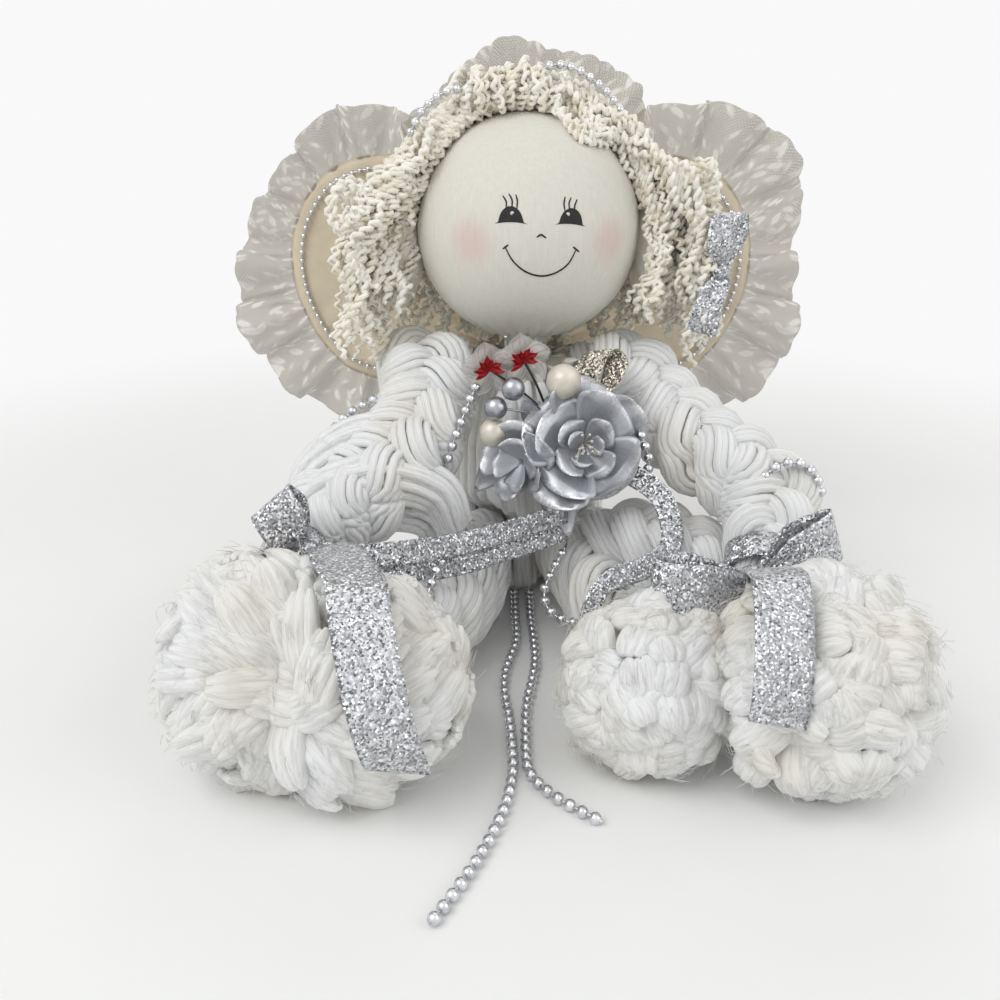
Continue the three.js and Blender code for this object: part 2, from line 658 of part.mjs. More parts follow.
// A ring of ribbon or yarn round a limb
function tieRing(limb, t) {
  const { point, tangent } = frameAt(limb.curve, t);
  const turn = new THREE.Quaternion().setFromUnitVectors(new THREE.Vector3(0, 0, 1), tangent);
  const ringRadius = limb.radiusAt(t) + tieGap + tieRadius;
  return new THREE.TorusGeometry(ringRadius, tieRadius, 4, 12).applyQuaternion(turn)
    .translate(point.x, point.y, point.z);
}

const wristPlace = { left: 0.83, right: 0.84 };
const anklePlace = { left: 0.86, right: 0.86 };
for (const side of Object.keys(signs)) {
  const ring = tieRing(legs[side], anklePlace[side]);
  addPiece(`ankle_tie_${side}`, cut(ring, ball(feet[side], gap), below(0)), 'roving');
}

// Wrist bows: a ribbon round the wrist, its knot and two loops; the long tail lies on the tuft below
function bow(side, angle, loops, spare = 0) {
  const limb = arms[side];
  const t = wristPlace[side];
  const knotProud = gap + 2 * tieRadius + knotRadius * knotSeat;
  const knotCentre = limb.surface(t, THREE.MathUtils.degToRad(angle), knotProud).toArray();
  const parts = loops.map((reach) => {
    const start = vec(knotCentre);
    const along = vec(reach).sub(start);
    const opening = bowLoopSpread * along.length();
    const lift = along.clone().cross(backwards).normalize().multiplyScalar(opening);
    const middle = start.clone().addScaledVector(along, bowLoopPlace);
    const near = lift.clone().multiplyScalar(bowLoopPinch);
    const route = [start.clone().add(near), middle.clone().add(lift), vec(reach), middle.clone().sub(lift),
      start.clone().sub(near)];
    return ribbon(route.map((p) => p.toArray()), bowRibbonWidth, [0, -1, 0.35], 10, spare, bowRibbonPinch);
  });
  const knot = ball({ centre: knotCentre, radii: [knotRadius, knotRadius, knotRadius] }, spare, 7, 5);
  const room = [ball(hands[side], gap), limb.solid(gap)];
  const whole = join(tieRing(limb, t), knot, ...parts);
  return { knotCentre, whole, geometry: cut(whole, ...room) };
}

const bowLoops = {
  left: { angle: 40, tips: [[-112, -140, 98], [-60, -140, 68]] },
  right: { angle: 130, tips: [[62, -150, 72], [116, -142, 88]] },
};
const leftBow = bow('left', bowLoops.left.angle, bowLoops.left.tips);
const rightBow = bow('right', bowLoops.right.angle, bowLoops.right.tips);
addPiece('wrist_bow_left', leftBow.geometry, 'ribbon');
addPiece('wrist_bow_right', rightBow.geometry, 'ribbon');

function drapedTail(tuftBall, x, angles, lead) {
  const [wide, deep, tall] = tuftBall.radii.map((radius) => radius + ribbonThickness + tailGap);
  const reach = Math.sqrt(1 - ((x - tuftBall.centre[0]) / wide) ** 2);
  const points = angles.map((degrees) => {
    const angle = THREE.MathUtils.degToRad(degrees);
    const ahead = deep * reach * Math.cos(angle);
    return [x, tuftBall.centre[1] - ahead, tuftBall.centre[2] + tall * reach * Math.sin(angle)];
  });
  return ribbon([...lead, ...points], bowRibbonWidth, [1, 0, 0], 16);
}

const tailRoom = (side) => [ball(hands[side], gap), ball(feet[side], gap),
  bow(side, bowLoops[side].angle, bowLoops[side].tips, gap).whole];
const fromKnot = ({ knotCentre }, offset) => offset.map((step, axis) => knotCentre[axis] + step);
const leftLead = [[8, -14, 2], [20, -26, 6]].map((offset) => fromKnot(leftBow, offset));
const rightLead = [[0, -13, 3], [-2, -20, 6]].map((offset) => fromKnot(rightBow, offset));
const leftTail = drapedTail(leftFoot, leftTailX, [80, 58, 35, 10, -13], leftLead);
const rightTail = drapedTail(rightHand, rightTailX, [85, 60, 35, 15], rightLead);
addPiece('bow_tail_left', cut(leftTail, ...tailRoom('left')), 'ribbon');
addPiece('bow_tail_right', cut(rightTail, ...tailRoom('right')), 'ribbon');

// Corsage on the breast: a wrapped base, two cloth flowers, leaves, berries, pearls and small red flowers
const breastRoom = ball(breast, gap);
addPiece('corsage_base', cut(ball(corsage), breastRoom), 'ribbon');
const corsageRoom = ball(corsage, gap);
const flowerX = 26;
const flowerZ = 104;
const flowerApex = [flowerX, ballFront(corsage, flowerX, flowerZ), flowerZ];
const ahead = (distance) => [flowerApex[0], flowerApex[1] - distance, flowerApex[2]];
const flowerStep = petalThickness + petalGap;
const mainFlower = flower(flowerApex, [0, -1, 0], flowerRadius, 5, flowerDepth);
const mainFlowerRoom = flower(flowerApex, [0, -1, 0], flowerRadius, 5, flowerDepth, 20, gap);
addPiece('flower_outer', cut(mainFlower, corsageRoom), 'petal');
const innerFlower = flower(ahead(flowerStep), [0, -1, 0], innerFlowerRadius, 4, innerFlowerDepth, 16);
addPiece('flower_inner', innerFlower, 'petal');
const stamenFoot = 2 * flowerStep + 0.5;
addPiece('flower_stamens', rod(ahead(stamenFoot), ahead(stamenFoot + stamenLength), stamenRadius, 8), 'wire');
const sideApexX = -1;
const sideApexZ = 98;
const sideApex = [sideApexX, ballFront(corsage, sideApexX, sideApexZ), sideApexZ];
const sideFlower = flower(sideApex, [-0.55, -0.72, -0.42], sideFlowerRadius, 5, sideFlowerDepth);
addPiece('flower_side', cut(sideFlower, corsageRoom, mainFlowerRoom), 'petal');
const lowerLeaf = leaf([[12, -80, 96], [16, -84, 78], [19, -87, 62]], lowerLeafWidth);
const sideLeaf = leaf([[6, -73, 100], [-9, -72, 92], [-21, -73, 80]], sideLeafWidth);
addPiece('leaf_lower', cut(lowerLeaf, corsageRoom, breastRoom), 'petal');
addPiece('leaf_side', cut(sideLeaf, corsageRoom, breastRoom), 'petal');

// A round berry on its wire, which ends at the corsage's base
function berry(centre, radius, material, name) {
  const stem = rod(centre, [corsage.centre[0], corsage.centre[1], corsage.centre[2] + stemRise], wireRadius);
  const whole = join(ball(round(centre, radius), 0, 10, 7), stem);
  addPiece(name, cut(whole, corsageRoom, breastRoom), material);
}

berry([-6, -84, 131], berryRadius, 'silver', 'berry_upper');
berry([-14, -84, 122], berryRadius, 'silver', 'berry_lower');
berry([-15, -82, 109.6], pearlRadius, 'pearl', 'pearl_left');
berry([17, -82, 134], largePearlRadius, 'pearl', 'pearl_right');
const redFlowers = { red_flower_left: [-17, -72, 139], red_flower_right: [-1, -72, 143] };
for (const [name, apex] of Object.entries(redFlowers)) {
  const root = [corsage.centre[0], corsage.centre[1] + 3, corsage.centre[2] + stemRise];
  const stem = rod([apex[0], apex[1], apex[2] + 1], root, wireRadius);
  const bloom = flower(apex, [0, -0.6, 0.8], redFlowerRadius, 6, redFlowerDepth, 12);
  addPiece(name, cut(join(bloom, stem), corsageRoom, breastRoom), 'red');
}
const glitterRoute = [[24, -74, 120], [26, -70, 132], [36, -66, 146], [42, -68, 136], [32, -74, 122]];
const glitterLoop = ribbon(glitterRoute, glitterLoopWidth, [0.5, -0.8, 0.2]);
addPiece('glitter_loop', cut(glitterLoop, corsageRoom, breastRoom), 'ribbon');

// Streamers: narrow ribbon from under the flower to the left bow, and a free curl on the right
const streamerRoom = [arms.left.solid(gap), legs.left.solid(gap), breastRoom];
for (const [name, drop] of Object.entries({ streamer_upper: 0, streamer_lower: 9.8 })) {
  const route = [[20, -87.8 - drop * 0.08, 71], [-4, -102, 69], [-30, -118, 70], [-53, -134, 74]]
    .map(([x, y, z]) => [x, y, z - drop]);
  addPiece(name, cut(ribbon(route, streamerWidth, [0, 0, 1], 12), ...streamerRoom), 'ribbon');
}
const curl = [[46, -91.5, 92], [62, -98, 82], [66, -110, 66], [54, -120, 60], [34, -128, 57], [30, -132, 44]];
const curlRoom = [arms.right.solid(gap), legs.right.solid(gap), mainFlowerRoom];
addPiece('streamer_right', cut(ribbon(curl, streamerWidth, [0.5, -0.7, 0.5], 14), ...curlRoom), 'ribbon');

// Bead garland wound on the limbs
const wraps = {
  arm_beads_left: wrapPoints(arms.left, [0.14, 0.42], [85, 5]),
  shoulder_beads_right: wrapPoints(arms.right, [0.3, 0.42], [35, 130]),
  elbow_beads_right: wrapPoints(arms.right, [0.68, 0.71], [-15, 190], 12),
  leg_beads_left: wrapPoints(legs.left, [0.66, 0.76], [85, -20]),
  leg_beads_right: wrapPoints(legs.right, [0.5, 0.66], [110, 205]),
};
for (const [name, route] of Object.entries(wraps)) {
  addPiece(name, beads(route, beadDiameter), 'silver');
}

// Trailing garland on the table: two strands from between the legs
const tailHeight = beadDiameter / 2 + 0.1;
const tailLeft = [[-4, -33.6], [-4, -64], [-4, -89], [-9, -115], [-10, -134], [-8, -155], [-7, -175],
  [-7, -193], [-10, -212], [-16, -231], [-22, -245], [-29, -259], [-35, -270]];
const tailRight = [[4, -33.6], [4, -64], [5, -89], [5, -108], [3, -125], [0, -145], [-1, -168], [-0.5, -190],
  [6, -203], [16, -213], [26, -221]];
addPiece('tail_strand_left', beads(tailLeft.map(([x, y]) => [x, y, tailHeight]), beadDiameter), 'silver');
addPiece('tail_strand_right', beads(tailRight.map(([x, y]) => [x, y, tailHeight]), beadDiameter), 'silver');

export default angel;
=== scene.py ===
"""Plush angel ornament: a sitting doll of braided roving with a stuffed muslin head, crinkled yarn hair,
lace-edged wings, a silver corsage, glitter ribbon bows and bead garland.
Metres, +Z up, the doll faces -Y and sits on the floor at Z 0."""
import math
import random

import bmesh
import bpy
import numpy as np
from bpy.props import FloatProperty, FloatVectorProperty, IntProperty, PointerProperty
from mathutils import Matrix, Vector, noise
from mathutils.bvhtree import BVHTree


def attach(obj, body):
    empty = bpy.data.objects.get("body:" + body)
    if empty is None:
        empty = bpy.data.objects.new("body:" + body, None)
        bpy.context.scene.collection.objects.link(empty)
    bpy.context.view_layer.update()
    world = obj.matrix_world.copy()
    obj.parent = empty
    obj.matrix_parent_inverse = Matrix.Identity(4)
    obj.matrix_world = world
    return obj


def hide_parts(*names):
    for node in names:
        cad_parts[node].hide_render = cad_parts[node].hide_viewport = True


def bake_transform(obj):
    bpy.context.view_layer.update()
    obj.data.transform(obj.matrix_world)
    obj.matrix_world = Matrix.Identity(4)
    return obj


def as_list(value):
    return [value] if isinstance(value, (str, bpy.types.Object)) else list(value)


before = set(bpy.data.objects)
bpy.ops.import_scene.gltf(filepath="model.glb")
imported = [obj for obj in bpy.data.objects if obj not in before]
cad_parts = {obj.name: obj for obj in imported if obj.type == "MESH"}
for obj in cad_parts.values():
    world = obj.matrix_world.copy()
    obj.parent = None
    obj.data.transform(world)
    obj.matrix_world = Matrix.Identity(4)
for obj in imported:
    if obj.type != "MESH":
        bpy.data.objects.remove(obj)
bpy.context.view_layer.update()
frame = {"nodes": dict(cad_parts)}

bl_info = {
    "name": "Plush angel ornament",
    "version": (1, 0, 0),
    "blender": (4, 5, 0),
    "location": "View3D > Sidebar > Angel",
    "description": "Dresses the packed solids of a plush angel in yarn, cloth, lace, ribbon and beads",
    "category": "Object",
}

MM = 0.001
SIDES = {"left": -1, "right": 1}
UP = Vector((0, 0, 1))
# The stuffed head's middle and radius, in millimetres
HEAD_MIDDLE, HEAD_RADIUS = (2, -10, 194), 55.5
# Turning by this much from one to the next spreads things evenly over a disc or a ball
GOLDEN_TURN = 2.39996
BACKDROP = "F9F9F9"


def mm(*numbers):
    """A point given in millimetres, in metres."""
    return Vector([n * MM for n in numbers])


def srgb(code):
    """The linear colour of an sRGB hex value."""
    parts = [int(code[i:i + 2], 16) / 255 for i in (0, 2, 4)]
    return [c / 12.92 if c <= 0.04045 else ((c + 0.055) / 1.055) ** 2.4 for c in parts]


def rgba(colour):
    return (*colour, 1.0)


def length_property(name, description, default_mm):
    return FloatProperty(name=name, description=description, default=default_mm * MM, unit="LENGTH",
                         subtype="DISTANCE")


def colour_property(name, description, code):
    return FloatVectorProperty(name=name, description=description, default=srgb(code), size=3,
                               subtype="COLOR", min=0, max=1)


class StageSettings(bpy.types.PropertyGroup):
    lens: FloatProperty(name="Lens", description="Focal length of the camera", default=34.56, unit="CAMERA")
    place: FloatVectorProperty(name="Camera place", description="Where the camera stands", unit="LENGTH",
                               subtype="TRANSLATION", default=(-0.012, -0.508, 0.247))
    pitch: FloatProperty(name="Camera pitch", description="How far the camera looks down", unit="ROTATION",
                         subtype="ANGLE", default=math.radians(21.9))
    floor_colour: colour_property("Floor", "Pale floor and backdrop", "F5F5F4")
    key_power: FloatProperty(name="Key light", description="Power of the large soft lamp", default=10,
                             unit="POWER")
    fill_power: FloatProperty(name="Fill light", description="Power of the fill lamp", default=2.8,
                              unit="POWER")
    world_level: FloatProperty(name="World", description="Strength of the even light all round", default=0.55)


class HeadSettings(bpy.types.PropertyGroup):
    radius: length_property("Head radius", "Radius of the stuffed head", HEAD_RADIUS)
    cloth: length_property("Muslin", "Thickness of the muslin", 1.0)
    gathers: IntProperty(name="Gathers", description="Folds round the gathered neck", default=26)
    muslin: colour_property("Muslin colour", "Unbleached muslin", "E3E0D6")
    blush: colour_property("Blush", "Dusted pink of the cheeks", "D99E9C")
    ink: colour_property("Ink", "Printed eyes, nose and smile", "0B0A0A")
    hair_strands: IntProperty(name="Strands", description="Strands on each side of the head", default=105)
    hair_thread: length_property("Hair thread", "Radius of the crinkled thread", 1.15)
    hair_colour: colour_property("Hair colour", "Off-white crinkled yarn", "FBF8EF")
    hair_shade: colour_property("Hair shade", "Yellower yarn inside the locks", "F2EBDA")


class RovingSettings(bpy.types.PropertyGroup):
    yarn: length_property("Yarn", "Radius of one roving yarn", 2.1)
    pitch: length_property("Braid pitch", "Length of one full turn of the braid", 56)
    twist: length_property("Strand twist", "Length of one turn of the yarns in a strand", 105)
    yarns: IntProperty(name="Yarns", description="Yarns round one strand of a braid", default=15)
    tufts: IntProperty(name="Tufts", description="Frayed ends in one hand or foot", default=175)
    colour: colour_property("Roving colour", "White roving", "F2F3F3")
    warm: colour_property("Warm roving", "Roving where it has yellowed", "EAE5DA")


class TrimSettings(bpy.types.PropertyGroup):
    lace: colour_property("Lace", "Leaves woven in the lace", "F3F0E9")
    # The net's grey is partly the lace's own colour and partly painted shade
    lace_net_grey_and_shade: colour_property("Lace print", "Grey net of the lace", "BDB5A8")
    wing: colour_property("Wing cloth", "Cream cotton of the wings", "DED1B8")
    steel: colour_property("Beads", "Plated beads", "E6E7EA")
    glitter: colour_property("Glitter", "Flakes on the ribbon", "E2E3E6")
    glitter_dark: colour_property("Glitter ground", "Ribbon between the flakes", "888A8E")
    satin: colour_property("Satin", "Silver satin petals", "BBBEC4")
    pearl: colour_property("Pearl", "Cream pearls", "E9E1D2")
    red: colour_property("Floret", "Heart of the small flowers", "B0121C")
    bead: length_property("Bead", "Diameter of a garland bead", 5)
    bow_ribbon: length_property("Bow ribbon", "Width of the bows' ribbon", 22)
    streamer: length_property("Streamer", "Width of the narrow ribbon", 10.2)


def settings(group):
    return getattr(bpy.context.scene, "angel_" + group)


# Materials


def add_node(tree, kind, values=None, links=None):
    """Adds a node: values go to its settings or, by name or number, to its inputs; links join its inputs."""
    node = tree.nodes.new(kind)
    for key, value in (values or {}).items():
        if isinstance(key, str) and hasattr(node, key):
            setattr(node, key, value)
        else:
            node.inputs[key].default_value = value
    for key, socket in (links or {}).items():
        tree.links.new(socket, node.inputs[key])
    return node


def start_material(name, colour, **sockets):
    """A material with its Principled shader, whose constant sockets are set directly."""
    material = bpy.data.materials.new(name)
    material.use_nodes = True
    tree = material.node_tree
    shader = tree.nodes["Principled BSDF"]
    shader.inputs["Base Color"].default_value = rgba(colour)
    for key, value in sockets.items():
        shader.inputs[key.replace("_", " ")].default_value = value
    return material, tree, shader


def ramp(tree, factor, low, high):
    """A colour ramp between two stops, each a place and a colour."""
    node = add_node(tree, "ShaderNodeValToRGB", links={"Fac": factor})
    for element, (place, colour) in zip(node.color_ramp.elements, (low, high)):
        element.position = place
        element.color = rgba(colour)
    return node.outputs["Color"]


def paint(tree, shader, colour):
    tree.links.new(colour, shader.inputs["Base Color"])


def darker(colour, share):
    return [c * share for c in colour]


def bump(tree, shader, height, distance, strength):
    node = add_node(tree, "ShaderNodeBump", {"Distance": distance, "Strength": strength}, {"Height": height})
    tree.links.new(node.outputs["Normal"], shader.inputs["Normal"])


def places(tree, kind="Object"):
    """Where a texture is read: the piece's own coordinates, or UV along and across it."""
    return add_node(tree, "ShaderNodeTexCoord").outputs[kind]


def stretched(tree, place, scale):
    return add_node(tree, "ShaderNodeMapping", {"Scale": scale}, {"Vector": place}).outputs[0]


def speckle(tree, place, scale, detail=2.0, **more):
    """Noise from 0 to 1."""
    values = {"Scale": scale, "Detail": detail, **more}
    return add_node(tree, "ShaderNodeTexNoise", values, {"Vector": place}).outputs["Fac"]


def stripes(tree, place, way, **values):
    """Soft bands from 0 to 1."""
    values["bands_direction"] = way
    return add_node(tree, "ShaderNodeTexWave", values, {"Vector": place}).outputs["Fac"]


def math_node(tree, operation, first, second):
    """One sum on two sockets, or on a socket and a number."""
    values, links = {"operation": operation}, {0: first}
    (values if isinstance(second, float) else links)[1] = second
    return add_node(tree, "ShaderNodeMath", values, links).outputs[0]


def wave_scale(spacing):
    """Scale of a Wave texture whose bands lie this far apart: Blender draws 20 radians per unit."""
    return 2 * math.pi / 20 / spacing


def muslin_material():
    """Unbleached plain-woven muslin over filling: matt, a fine thread grid with slubs, dusted cheeks."""
    head = settings("head")
    material, tree, shader = start_material("muslin_plain_weave", head.muslin, Roughness=0.92,
                                            Sheen_Weight=0.15)
    place = places(tree)
    # Threads lie 0.45 mm apart on real muslin; they are drawn 0.9 mm apart so that they show
    bands = {"Scale": wave_scale(0.9 * MM), "Distortion": 1.2, "Detail": 2.0}
    weave = math_node(tree, "ADD", *(stripes(tree, place, way, **bands) for way in ("X", "Z")))
    slubs = speckle(tree, stretched(tree, place, (1, 1, 0.12)), 700.0, 3.0)
    colour = ramp(tree, slubs, (0.3, darker(head.muslin, 0.93)), (0.75, head.muslin))
    for cheek in (FACE.point(-31.5, -1.5), FACE.point(33.5, -2)):
        reach = add_node(tree, "ShaderNodeVectorMath", {"operation": "DISTANCE", 1: cheek}, {0: place})
        near = {"interpolation_type": "SMOOTHERSTEP", "From Min": 17 * MM, "From Max": MM, "To Max": 0.32}
        fade = add_node(tree, "ShaderNodeMapRange", near, {"Value": reach.outputs["Value"]}).outputs["Result"]
        mix = add_node(tree, "ShaderNodeMix", {"data_type": "RGBA", 7: rgba(head.blush)},
                       {0: fade, 6: colour})
        colour = mix.outputs[2]
    paint(tree, shader, colour)
    bump(tree, shader, weave, 0.12 * MM, 0.5)
    return material


def ink_material():
    """Screen-printed fabric ink: flat black, taking the cloth's matt grain."""
    ink = settings("head").ink
    material, tree, shader = start_material("printed_fabric_ink", ink, Roughness=0.7)
    grain = speckle(tree, places(tree), 900.0)
    paint(tree, shader, ramp(tree, grain, (0.3, ink), (0.9, srgb("2A2827"))))
    return material


def steel_bead_material():
    """Plated ball chain: bright nickel with a little handling haze."""
    material, tree, shader = start_material("plated_nickel_beads", settings("trim").steel, Metallic=1.0)
    haze = speckle(tree, places(tree), 260.0)
    rough = add_node(tree, "ShaderNodeMapRange", {"To Min": 0.1, "To Max": 0.26}, {"Value": haze})
    tree.links.new(rough.outputs[0], shader.inputs["Roughness"])
    paint(tree, shader, ramp(tree, haze, (0.3, srgb("C2C3C7")), (0.7, settings("trim").steel)))
    return material


def floor_material():
    """Plain pale studio paper, which fades into the backdrop away from the doll."""
    pale = settings("stage").floor_colour
    material, tree, shader = start_material("pale_studio_paper", pale, Roughness=0.9)
    grain = speckle(tree, places(tree), 40.0, 4.0)
    paint(tree, shader, ramp(tree, grain, (0.0, darker(pale, 0.985)), (1.0, pale)))
    # Far from the doll the camera sees the plain backdrop's colour
    far = add_node(tree, "ShaderNodeVectorMath", {"operation": "LENGTH"}, {0: places(tree)})
    fade = add_node(tree, "ShaderNodeMapRange",
                    {"interpolation_type": "SMOOTHSTEP", "From Min": 0.3, "From Max": 0.7},
                    {"Value": far.outputs["Value"]})
    camera_ray = add_node(tree, "ShaderNodeLightPath").outputs["Is Camera Ray"]
    seen = math_node(tree, "MULTIPLY", fade.outputs["Result"], camera_ray)
    backdrop = add_node(tree, "ShaderNodeEmission", {"Color": rgba(srgb(BACKDROP))})
    pick = add_node(tree, "ShaderNodeMixShader",
                    links={0: seen, 1: shader.outputs[0], 2: backdrop.outputs[0]})
    tree.links.new(pick.outputs[0], tree.nodes["Material Output"].inputs["Surface"])
    return material


def hair_material():
    """Crinkled acrylic yarn: plied thread, off-white with yellower strands inside the locks."""
    head = settings("head")
    material, tree, shader = start_material("crinkled_hair_yarn", head.hair_colour, Roughness=0.9,
                                            Sheen_Weight=0.25)
    ply = stripes(tree, stretched(tree, places(tree, "UV"), (60, 2, 1)), "DIAGONAL", Scale=1.0)
    patches = speckle(tree, places(tree), 90.0)
    paint(tree, shader, ramp(tree, patches, (0.36, head.hair_shade), (0.56, head.hair_colour)))
    bump(tree, shader, ply, 0.2 * MM, 0.3)
    return material


def roving_material(run, warmth=0.5):
    """Loose acrylic roving: fine fibres along each yarn, white and here and there yellowed.
    run is how many fibre lengths fit along a yarn, warmth how much has yellowed."""
    roving = settings("roving")
    material, tree, shader = start_material("acrylic_roving", roving.colour, Roughness=0.9, Sheen_Weight=0.25)
    fibre_place = add_node(tree, "ShaderNodeMapping", {"Scale": (run, 16, 1), "Rotation": (0, 0, 0.02)},
                           {"Vector": places(tree, "UV")})
    fibres = speckle(tree, fibre_place.outputs[0], 1.0, 4.0, Roughness=0.65)
    age = speckle(tree, places(tree), 22.0)
    tone = ramp(tree, age, (0.62 - 0.3 * warmth, roving.colour), (0.95 - 0.2 * warmth, roving.warm))
    streak = ramp(tree, fibres, (0.3, srgb("E2E2E0")), (0.55, srgb("FFFFFF")))
    mix = add_node(tree, "ShaderNodeMix", {"data_type": "RGBA", "blend_type": "MULTIPLY", 0: 1.0},
                   {6: tone, 7: streak})
    paint(tree, shader, mix.outputs[2])
    bump(tree, shader, fibres, 0.5 * MM, 0.6)
    return material


def lace_material(length, width):
    """Silver-printed lace: a fine warm-grey net that lets light through, its grey partly its own and partly
    painted shade, with sprays of pale leaves woven in.
    length and width are the strip's own, so that the leaves keep their size."""
    trim = settings("trim")
    material, tree, shader = start_material("silver_printed_lace", trim.lace, Roughness=0.6, Sheen_Weight=0.3)
    place = stretched(tree, places(tree, "UV"), (length / MM, width / MM, 1))
    # Leaves about 4 by 9 mm, leaning two ways as on a spray
    leaves = []
    for turn, shift in ((0.6, 0), (-0.7, 37)):
        lean = {"vector_type": "TEXTURE", "Rotation": (0, 0, turn), "Location": (shift, shift, 0)}
        leaning = add_node(tree, "ShaderNodeMapping", {**lean, "Scale": (7, 16, 1)}, {"Vector": place})
        cells = add_node(tree, "ShaderNodeTexVoronoi", {"Scale": 1.0, "Randomness": 0.85},
                         {"Vector": leaning.outputs[0]})
        leaves.append(ramp(tree, cells.outputs["Distance"], (0.24, (1, 1, 1)), (0.38, (0, 0, 0))))
    woven = math_node(tree, "MAXIMUM", *leaves)
    nets = [stripes(tree, place, way, Scale=wave_scale(1.1)) for way in ("DIAGONAL", "Y")]
    net = math_node(tree, "MAXIMUM", *nets)
    thin = add_node(tree, "ShaderNodeMapRange", {"From Min": 0.3, "To Min": 0.34, "To Max": 0.66},
                    {"Value": net})
    dense = math_node(tree, "MULTIPLY", woven, 0.86)
    tree.links.new(math_node(tree, "MAXIMUM", dense, thin.outputs[0]), shader.inputs["Alpha"])
    # The grey of the net between the leaves is partly its own colour and partly painted shade
    paint(tree, shader, ramp(tree, woven, (0.0, trim.lace_net_grey_and_shade), (1.0, trim.lace)))
    return material


def wing_cloth_material():
    """Cream cotton of the wings, creased where it is gathered, with painted shade in the creases."""
    wing = settings("trim").wing
    material, tree, shader = start_material("cream_cotton", wing, Roughness=0.9, Sheen_Weight=0.15)
    creases = speckle(tree, places(tree), 45.0, 3.0, Distortion=0.8)
    # Painted shade: the cloth's colour is darker in the hollows of the bumped creases
    paint(tree, shader, ramp(tree, creases, (0.3, darker(wing, 0.86)), (0.7, wing)))
    bump(tree, shader, creases, 3 * MM, 0.5)
    return material


# Size of one glitter flake
FLAKE = 0.75 * MM


def glitter_material(name, bright, ground):
    """Ribbon covered in metal flakes, each turned its own way so that some flash and some stay dark."""
    material, tree, shader = start_material(name, bright, Metallic=0.85, Roughness=0.32)
    flakes = add_node(tree, "ShaderNodeTexVoronoi", {"Scale": 1 / FLAKE}, {"Vector": places(tree)})
    shade = add_node(tree, "ShaderNodeSeparateColor", links={0: flakes.outputs["Color"]})
    paint(tree, shader, ramp(tree, shade.outputs[0], (0.1, ground), (0.75, bright)))
    tilt = add_node(tree, "ShaderNodeVectorMath", {"operation": "SUBTRACT", 1: (0.5, 0.5, 0.5)},
                    {0: flakes.outputs["Color"]})
    turned = add_node(tree, "ShaderNodeVectorMath", {"operation": "MULTIPLY_ADD", 1: (1.3, 1.3, 1.3)},
                      {0: tilt.outputs[0], 2: add_node(tree, "ShaderNodeNewGeometry").outputs["Normal"]})
    facing = add_node(tree, "ShaderNodeVectorMath", {"operation": "NORMALIZE"}, {0: turned.outputs[0]})
    tree.links.new(facing.outputs[0], shader.inputs["Normal"])
    return material


def ribbon_material():
    trim = settings("trim")
    return glitter_material("silver_glitter_ribbon", trim.glitter, trim.glitter_dark)


def satin_material():
    """Silver satin petals: a woven sheen, threads along the petal, and a glittered rim."""
    trim = settings("trim")
    material, tree, shader = start_material("silver_satin", trim.satin, Metallic=0.45, Roughness=0.32,
                                            Anisotropic=0.4)
    along = places(tree, "UV")
    threads = speckle(tree, stretched(tree, along, (60, 4, 1)), 1.0, 3.0)
    tone = ramp(tree, threads, (0.3, darker(trim.satin, 0.8)), (0.7, trim.satin))
    cut = add_node(tree, "ShaderNodeSeparateXYZ", links={0: along})
    rim = add_node(tree, "ShaderNodeMapRange", {"From Min": 0.8, "From Max": 0.95},
                   {"Value": cut.outputs["Y"]})
    flakes = add_node(tree, "ShaderNodeTexVoronoi", {"Scale": 1400.0}, {"Vector": places(tree)})
    spark = math_node(tree, "MULTIPLY", rim.outputs[0], flakes.outputs["Color"])
    mix = add_node(tree, "ShaderNodeMix", {"data_type": "RGBA", 7: rgba(srgb("F4F4F6"))}, {0: spark, 6: tone})
    paint(tree, shader, mix.outputs[2])
    bump(tree, shader, threads, 0.3 * MM, 0.4)
    return material


def pearl_material(name, colour, metal):
    """Lacquered ball: a pearly or silvered skin with faint clouding under a clear coat."""
    material, tree, shader = start_material(name, colour, Metallic=metal, Roughness=0.3, Coat_Weight=0.4)
    cloud = speckle(tree, places(tree), 180.0, 3.0)
    paint(tree, shader, ramp(tree, cloud, (0.3, darker(colour, 0.8)), (0.65, colour)))
    return material


def floret_material(name, colour, alpha=1.0):
    """Dyed fabric of the small flowers, veined from the heart outwards."""
    material, tree, shader = start_material(name, colour, Roughness=0.6, Alpha=alpha)
    veins = speckle(tree, stretched(tree, places(tree, "UV"), (14, 2, 1)), 1.0)
    paint(tree, shader, ramp(tree, veins, (0.3, darker(colour, 0.6)), (0.7, colour)))
    return material


# Shaping helpers


def smooth_route(points, count):
    """Evenly spaced points on a smooth curve through points, which may carry a radius after x, y and z."""
    p = np.array([list(q) for q in points], float)
    p = np.vstack([2 * p[0] - p[1], p, 2 * p[-1] - p[-2]])
    fine = []
    for a, b, c, d in zip(p, p[1:], p[2:], p[3:]):
        for s in np.linspace(0, 1, 24, endpoint=False):
            fine.append(b + 0.5 * s * (c - a + s * (2 * a - 5 * b + 4 * c - d + s * (3 * (b - c) + d - a))))
    fine = np.array(fine + [p[-2]])
    steps = np.linalg.norm(np.diff(fine[:, :3], axis=0), axis=1)
    reach = np.concatenate([[0], np.cumsum(steps)])
    even = np.linspace(0, reach[-1], count)
    return np.column_stack([np.interp(even, reach, column) for column in fine.T])


def route_length(route):
    return float(np.linalg.norm(np.diff(np.array(route)[:, :3], axis=0), axis=1).sum())


